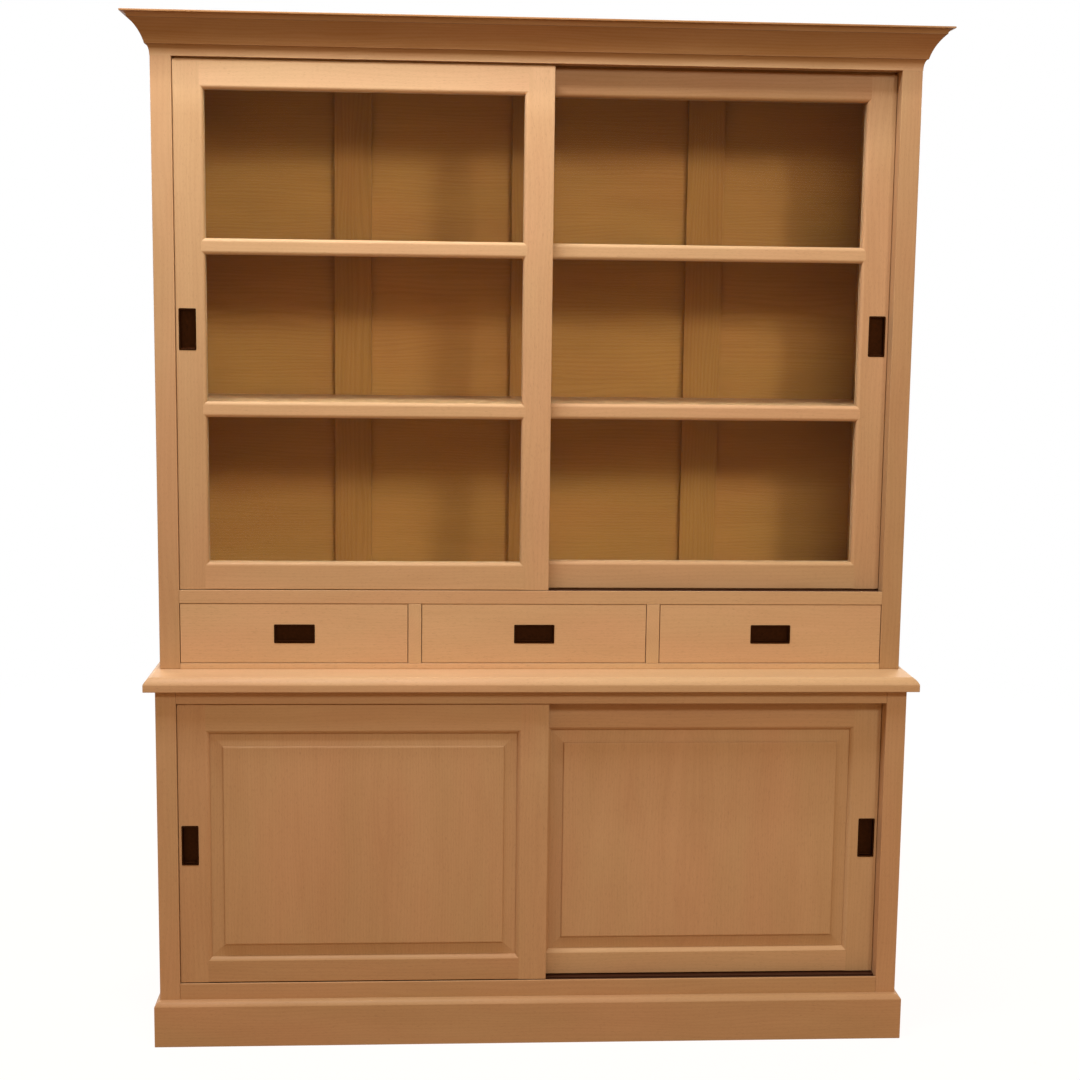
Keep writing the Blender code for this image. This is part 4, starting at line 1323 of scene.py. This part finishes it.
@dataclass
class SlidingDoor:
    """What both kinds of sliding door share: a frame whose rails are coped to its stiles."""

    bench: Bench
    name: str
    tone: float
    # Painted shading of the top rail, which also reaches down the stiles: paler is a painted highlight,
    # darker a painted shadow
    painted_top_shading: float
    bottom_tone: float
    case: str = ""
    stile: float = 0.0
    top_rail: float = 0.0
    bottom_rail: float = 0.0
    groove: Triple = (0.0, 0.0, 0.0)
    thickness: float = 25 * MM
    sticking: float = 8 * MM
    bulge: float = 2.0
    foot_gap: float = 1.5 * MM
    head_gap: float = 5 * MM
    runner: float = 8 * MM
    runner_inset: float = 2.4 * MM
    runner_edge: Edge = Edge(0.6 * MM, 0.6 * MM)
    # How far down the stiles the painted shading of the top rail reaches
    blend: float = 110 * MM
    pull: FlushPull = FlushPull()

    @property
    def node(self) -> str:
        """The CAD node of the door's frame."""
        return f"{self.name}_frame"

    @property
    def plain(self) -> Edge:
        """The moulded inner edge of the frame, an ovolo."""
        return Edge(self.sticking, SAWN.back, bulge=self.bulge)

    @property
    def moulded(self) -> Edge:
        """The same edge with the groove behind its ovolo."""
        return replace(self.plain, grooves=(self.groove,))

    def place(self) -> tuple[Range, Range, Range]:
        """The door's ranges on each axis, without its runner and its tongue."""
        low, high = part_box(self.node)
        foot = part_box(f"{self.case}_sill_rail")[1].z + self.foot_gap
        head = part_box(f"{self.case}_head_rail")[0].z - self.head_gap
        return (low.x, high.x), (low.y, low.y + self.thickness), (foot, head)

    def build_frame(self) -> None:
        """Makes the stiles and the outer rails, the runner and the tongue."""
        x, y, z = self.place()
        pull = f"{self.name}_pull"
        grip = sum(corner.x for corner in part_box(pull)) / 2
        for label, across, edges in (
            ("left", (x[0], x[0] + self.stile), (EASED, self.moulded)),
            ("right", (x[1] - self.stile, x[1]), (self.moulded, EASED)),
        ):
            length = Length(Lay.STILE, z, across, y, *edges, ends=CRISP)
            # Painted shading at the top of each stile, growing over the blend up to the top rail's
            length.fade = (z[1] - self.blend, self.painted_top_shading / self.blend)
            if across[0] < grip < across[1]:
                length.pocket = self.pull.pocket(pull, Lay.STILE)
            self.member(f"stile_{label}", length)
        self.rail("top_rail", (z[1] - self.top_rail, z[1]), y, (self.moulded, EASED), self.painted_top_shading)
        low = (z[0], z[0] + self.bottom_rail)
        self.rail("bottom_rail", low, y, (EASED, self.moulded), self.bottom_tone)
        self.build_slides(x, y, z)
        self.pull.build(self.bench, pull, self.name)

    def rail(
        self, label: str, across: Range, depth: Range, edges: tuple[Edge, Edge], darker: float
    ) -> None:
        """A rail or a bar between the stiles, coped to both.

        Args:
            label: What it is.
            across: Its range upwards.
            depth: Its range from the front to the back.
            edges: Its lower and its upper edge.
            darker: How much darker than the frame it is.
        """
        x = self.place()[0]
        inner_x = (x[0] + self.stile + SEAM, x[1] - self.stile - SEAM)
        length = Length(Lay.RAIL, inner_x, across, depth, *edges, ends=CRISP)
        length.cuts = (Cut.COPED, Cut.COPED)
        length.cope = self.plain
        self.member(label, length, darker)

    def build_slides(self, x: Range, y: Range, z: Range) -> None:
        """Makes the runner under the door and the tongue over it.

        Args:
            x: The door's range along the front.
            y: Its range from the front to the back.
            z: Its range upwards.
        """
        low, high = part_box(self.node)
        centre = (y[0] + y[1]) / 2
        strip_y = (centre - self.runner / 2, centre + self.runner / 2)
        strip_x = (x[0] + self.runner_inset, x[1] - self.runner_inset)
        for label, bottom, top in (("runner", low.z, z[0] - HAIR), ("tongue", z[1] + HAIR, high.z)):
            box = ((strip_x[0], strip_y[0], bottom), (strip_x[1], strip_y[1], top))
            self.member(label, board(Lay.RAIL, box, self.runner_edge))

    def member(self, label: str, length: Length, darker: float = 0.0) -> None:
        """One member of the door's frame."""
        name = f"{self.name}_{label}"
        self.bench.wood(name, length, node=self.node, body=self.name, tone=self.tone + darker)


@dataclass
class GlassDoor(SlidingDoor):
    """A glazed door with two bars in front of its pane."""

    case: str = "hutch"
    stile: float = 62 * MM
    top_rail: float = 58.5 * MM
    bottom_rail: float = 58 * MM
    groove: Triple = (12.0 * MM, 16.6 * MM, 13 * MM)
    bar: float = 33.5 * MM
    bars: tuple[str, ...] = ("lower", "upper")
    bar_thickness: float = 12 * MM
    bar_tone: float = -0.12
    bars_between: Range = (61 * MM, 56 * MM)

    def build(self) -> None:
        """Makes the frame and the bars, and finishes the pane."""
        self.build_frame()
        _, y, z = self.place()
        low, high = z[0] + self.bars_between[0], z[1] - self.bars_between[1]
        light = (high - low - len(self.bars) * self.bar) / (len(self.bars) + 1)
        depth = (y[0], y[0] + self.bar_thickness)
        for number, label in enumerate(self.bars):
            start = low + (number + 1) * light + number * self.bar
            edges = (self.plain, self.plain)
            self.rail(f"{label}_bar", (start, start + self.bar), depth, edges, self.bar_tone)
        self.bench.keep(f"{self.name}_glass", CLEAR_GLASS)


@dataclass
class PanelDoor(SlidingDoor):
    """A door with a raised panel in the grooves of its frame, whose sticking is nearly a chamfer."""

    case: str = "base"
    stile: float = 67 * MM
    top_rail: float = 65 * MM
    bottom_rail: float = 55 * MM
    groove: Triple = (9.7 * MM, 17.3 * MM, 8 * MM)
    head_gap: float = 2 * MM
    bulge: float = 1.3
    seat: float = 7.7 * MM
    setback: float = 10 * MM
    tongue: float = 7 * MM
    border: float = 27 * MM
    step: float = 4.5 * MM
    field: float = 1.5 * MM
    dish: float = 0.8 * MM
    ease: float = 3.5 * MM

    def panel_profile(self) -> tuple[np.ndarray, np.ndarray]:
        """How the panel's face runs from its edge inwards.

        A tongue in the groove, a border that rises to the step and is dished by 4 h t (1 - t), an upright
        step and a softly rounded arris round the field.

        Returns:
            Distances in from the frame's inner edge, negative within the groove, and depths behind the
            door's face.
        """
        t = np.linspace(0, 1, 13)
        foot = self.field + self.step
        slope = self.setback + (foot - self.setback) * t + 4 * self.dish * t * (1 - t)
        arris = np.linspace(0, math.pi / 2, 5)
        over = self.border + self.ease * (1 - np.cos(arris))
        rise = self.field + self.ease * (1 - np.sin(arris))
        inset = np.concatenate([[-self.seat, -self.seat], self.border * t, over])
        return inset, np.concatenate([[self.setback + self.tongue, self.setback], slope, rise])

    def build(self) -> None:
        """Makes the frame and the raised panel."""
        self.build_frame()
        x, y, z = self.place()
        low = np.array([x[0] + self.stile, z[0] + self.bottom_rail])
        high = np.array([x[1] - self.stile, z[1] - self.top_rail])
        inset, depth = self.panel_profile()
        corners = np.array([(-1, -1), (1, -1), (1, 1), (-1, 1)], float)
        points = np.empty((len(inset), 4, 3))
        points[..., ::2] = (low + high) / 2 + corners * ((high - low) / 2 - inset[:, None])[:, None, :]
        points[..., 1] = y[0] + depth[:, None]
        name = f"{self.name}_panel"
        mesh = ringed_mesh(name, points)
        self.bench.mark_grain(mesh, name, Lay.STILE, self.tone)
        self.bench.place(name, mesh, BARE_HARDWOOD, self.name)


@dataclass
class Drawer:
    """A drawer: its front with a flush pull, two sides, a back and a bottom."""

    bench: Bench
    name: str
    side: float = 12 * MM
    groove: float = 5 * MM
    top_gap: float = 0.8 * MM
    front_ease: float = 0.5 * MM
    box_ease: float = 0.6 * MM
    # Painted light: every piece of the drawer is paler, standing in for the light that the ledge throws up
    # on its front
    tone: float = -0.2
    pull: FlushPull = FlushPull()

    def build(self) -> None:
        """Makes the pieces of the drawer."""
        pull = f"{self.name}_pull"
        low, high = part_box(f"{self.name}_front")
        box = grow((low, high), 2, low.z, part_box("hutch_sill_rail")[0].z - self.top_gap)
        front = board(Lay.RAIL, box, Edge(self.front_ease, self.front_ease))
        front.pocket = self.pull.pocket(pull, Lay.RAIL)
        self.piece("front", front, BARE_HARDWOOD)
        self.build_box()
        bottom = board(Lay.SHELF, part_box(f"{self.name}_bottom"), SAWN)
        self.piece("bottom", bottom, INNER_HARDWOOD)
        self.pull.build(self.bench, pull, self.name)

    def build_box(self) -> None:
        """Makes the sides and the back, grooved for the bottom."""
        node = f"{self.name}_box"
        low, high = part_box(node)
        plain = Edge(self.box_ease, self.box_ease)
        groove = groove_for(f"{self.name}_bottom", 2, low.z, self.groove)
        grooved = replace(plain, grooves=(groove,))
        left, right = low.x + self.side, high.x - self.side
        y, z = (low.y, high.y), (low.z, high.z)
        inner = ((left + SEAM, right - SEAM), (high.y - self.side, high.y))
        for label, lay, ranges, edges, grain in (
            ("left_side", Lay.RUNNER, (y, (low.x, left)), (plain, grooved), Lay.DIVIDER),
            ("right_side", Lay.RUNNER, (y, (right, high.x)), (grooved, plain), Lay.DIVIDER),
            ("back", Lay.SHELF, inner, (grooved, plain), Lay.RAIL),
        ):
            length = Length(lay, *ranges, z, *edges, ends=(self.box_ease,) * 4)
            self.piece(label, length, INNER_HARDWOOD, grain, node)

    def piece(
        self, label: str, length: Length, finish: Hardwood, grain: Lay | None = None, node: str = ""
    ) -> None:
        """One wooden piece of the drawer."""
        name = f"{self.name}_{label}"
        self.bench.wood(name, length, finish, node, self.name, grain, self.tone)


@dataclass(frozen=True)
class Lamp:
    """A soft rectangular lamp, with its width and height in metres and its power in watts."""

    name: str
    place: Triple
    target: Triple
    size: Range
    power: float
    colour: str

    def hang(self) -> None:
        """Hangs the lamp in the scene."""
        light = bpy.data.lights.new(self.name, "AREA")
        light.shape = "RECTANGLE"
        light.size, light.size_y = self.size
        light.energy = self.power
        light.color = linear(self.colour)
        made = add_object(self.name, light)
        made.location = self.place
        aim = Vector(self.target) - Vector(self.place)
        made.rotation_euler = aim.to_track_quat("-Z", "Y").to_euler()


LAMPS = (
    Lamp("side lamp", (1.6, -3.4, 2.93), (0.0, 0.0, 1.0), (0.3, 0.5), 28.0, "#FDF4E8"),
    Lamp("front lamp", (0.4, -3.6, 2.96), (0.1, 0.0, 1.0), (1.4, 0.5), 20.0, "#FCFCF8"),
    Lamp("ceiling lamp", (-0.75, -0.98, 3.31), (-0.25, -0.15, 1.6), (1.3, 0.14), 43.0, "#F4F6FF"),
    Lamp("overhead lamp", (0.0, -0.8, 3.6), (0.0, -0.6, 0.0), (1.6, 0.1), 15.0, "#FFF8F0"),
    Lamp("rear lamp, left", (-2.4, 2.6, 2.6), (0.0, 0.2, 1.0), (1.6, 1.6), 60.0, "#FFF6EC"),
    Lamp("rear lamp, right", (2.4, 2.6, 2.6), (0.0, 0.2, 1.0), (1.6, 1.6), 60.0, "#FFF6EC"),
)


@dataclass
class Studio:
    """The floor, the lamps and the camera."""

    floor_size: float = 24.0
    # The shadow shows near the object, and further out the floor fades into the white surround
    near: float = 1.2
    far: float = 4.0
    # How much of the white the floor shows near the object, and how strong that white is
    near_white: Range = (0.78, 1.22)
    fill: float = 0.38
    lens: float = 59.31
    sensor: float = 36.0
    yaw: float = -0.06011
    pitch: float = -0.13751
    roll: float = -0.01257
    stand: Triple = (-0.2169, -3.9209, 1.6122)

    def build(self) -> None:
        """Makes the whole studio."""
        self.floor()
        self.world()
        for lamp in LAMPS:
            lamp.hang()
        self.camera()

    def backdrop_rays(self, tree: bpy.types.NodeTree) -> Any:
        """Which rays see the white backdrop: those of the camera, of gloss and of glass.

        A ray that left a matt surface and went through a pane is left out, because it would light the
        inside of the hutch with the backdrop.

        Args:
            tree: The node tree that uses the result.

        Returns:
            An output that is 1 for such a ray and 0 for any other.
        """
        seen = add_node(tree, "ShaderNodeLightPath", {}, "Is Camera Ray")
        rays = seen.node.outputs
        for kind in ("Is Glossy Ray", "Is Transmission Ray"):
            seen = add_node(tree, "ShaderNodeMath", {0: seen, 1: rays[kind]}, operation="MAXIMUM")
        matt = add_node(tree, "ShaderNodeMath", {0: rays["Diffuse Depth"], 1: 0.5}, operation="LESS_THAN")
        return add_node(tree, "ShaderNodeMath", {0: seen, 1: matt}, operation="MULTIPLY")

    def floor(self) -> None:
        """A plain pale floor, which the camera sees nearly white and the object's shadow darkens."""
        half = self.floor_size / 2
        mesh = bpy.data.meshes.new("studio_floor")
        corners = [(-half, -half, 0.0), (half, -half, 0.0), (half, half, 0.0), (-half, half, 0.0)]
        mesh.from_pydata(corners, [], [(0, 1, 2, 3)])
        floor = add_object("studio_floor", mesh)
        made, tree, shader = new_material("plain studio floor")
        matt = {"Base Color": opaque("#B09478"), "Roughness": 0.9, "Specular IOR Level": 0.0}
        set_inputs(tree, shader, matt)
        place = add_node(tree, "ShaderNodeTexCoord", {}, "Object")
        away = add_node(tree, "ShaderNodeVectorMath", {0: place}, "Value", operation="LENGTH")
        fades = []
        for start in self.near_white:
            links = {"Value": away, "From Min": self.near, "From Max": self.far, "To Min": start}
            fades.append(add_node(tree, "ShaderNodeMapRange", links, interpolation_type="SMOOTHSTEP"))
        links = {0: self.backdrop_rays(tree), 1: fades[0]}
        share = add_node(tree, "ShaderNodeMath", links, operation="MULTIPLY")
        white = add_node(tree, "ShaderNodeEmission", {"Color": (1, 1, 1, 1), "Strength": fades[1]})
        mixed = add_node(tree, "ShaderNodeMixShader", {0: share, 1: shader.outputs[0], 2: white})
        set_inputs(tree, tree.nodes["Material Output"], {"Surface": mixed})
        mesh.materials.append(made)

    def world(self) -> None:
        """A white surround for the camera, metal and glass, and a soft warm fill for everything else."""
        world = bpy.data.worlds.new("studio surround")
        bpy.context.scene.world = world
        world.use_nodes = True
        tree = world.node_tree
        fill = tree.nodes["Background"]
        set_inputs(tree, fill, {"Color": opaque("#FFBA6C"), "Strength": self.fill})
        white = add_node(tree, "ShaderNodeBackground", {"Color": (1, 1, 1, 1), "Strength": 1.0})
        links = {0: self.backdrop_rays(tree), 1: fill.outputs[0], 2: white}
        mixed = add_node(tree, "ShaderNodeMixShader", links)
        set_inputs(tree, tree.nodes["World Output"], {"Surface": mixed})

    def camera(self) -> None:
        """The camera of the photograph: its angle, its distance and its field of view."""
        data = bpy.data.cameras.new("camera")
        data.sensor_width = self.sensor
        data.lens = self.lens
        made = add_object("camera", data)
        turn = (
            Matrix.Rotation(self.yaw, 4, "Z")
            @ Matrix.Rotation(self.pitch, 4, "X")
            @ Matrix.Rotation(self.roll, 4, "Y")
            @ Matrix.Rotation(math.pi / 2, 4, "X")
        )
        made.matrix_world = Matrix.Translation(self.stand) @ turn
        bpy.context.scene.camera = made


def main() -> None:
    """Builds the whole scene."""
    logging.basicConfig(level=logging.INFO, format="%(name)s: %(message)s")
    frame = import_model()
    bpy.context.scene.view_settings.view_transform = "Standard"
    bench = Bench(frame["nodes"])
    Base(bench).build()
    Hutch(bench).build()
    for hand, (glass_tones, panel_tones) in DOOR_TONES_AND_PAINTED_SHADE.items():
        GlassDoor(bench, f"glass_door_{hand}", *glass_tones).build()
        PanelDoor(bench, f"panel_door_{hand}", *panel_tones).build()
    for hand in ("left", "middle", "right"):
        Drawer(bench, f"drawer_{hand}").build()
    Studio().build()
    LOG.info("%d pieces", bench.count)


if __name__ == "__main__":
    main()
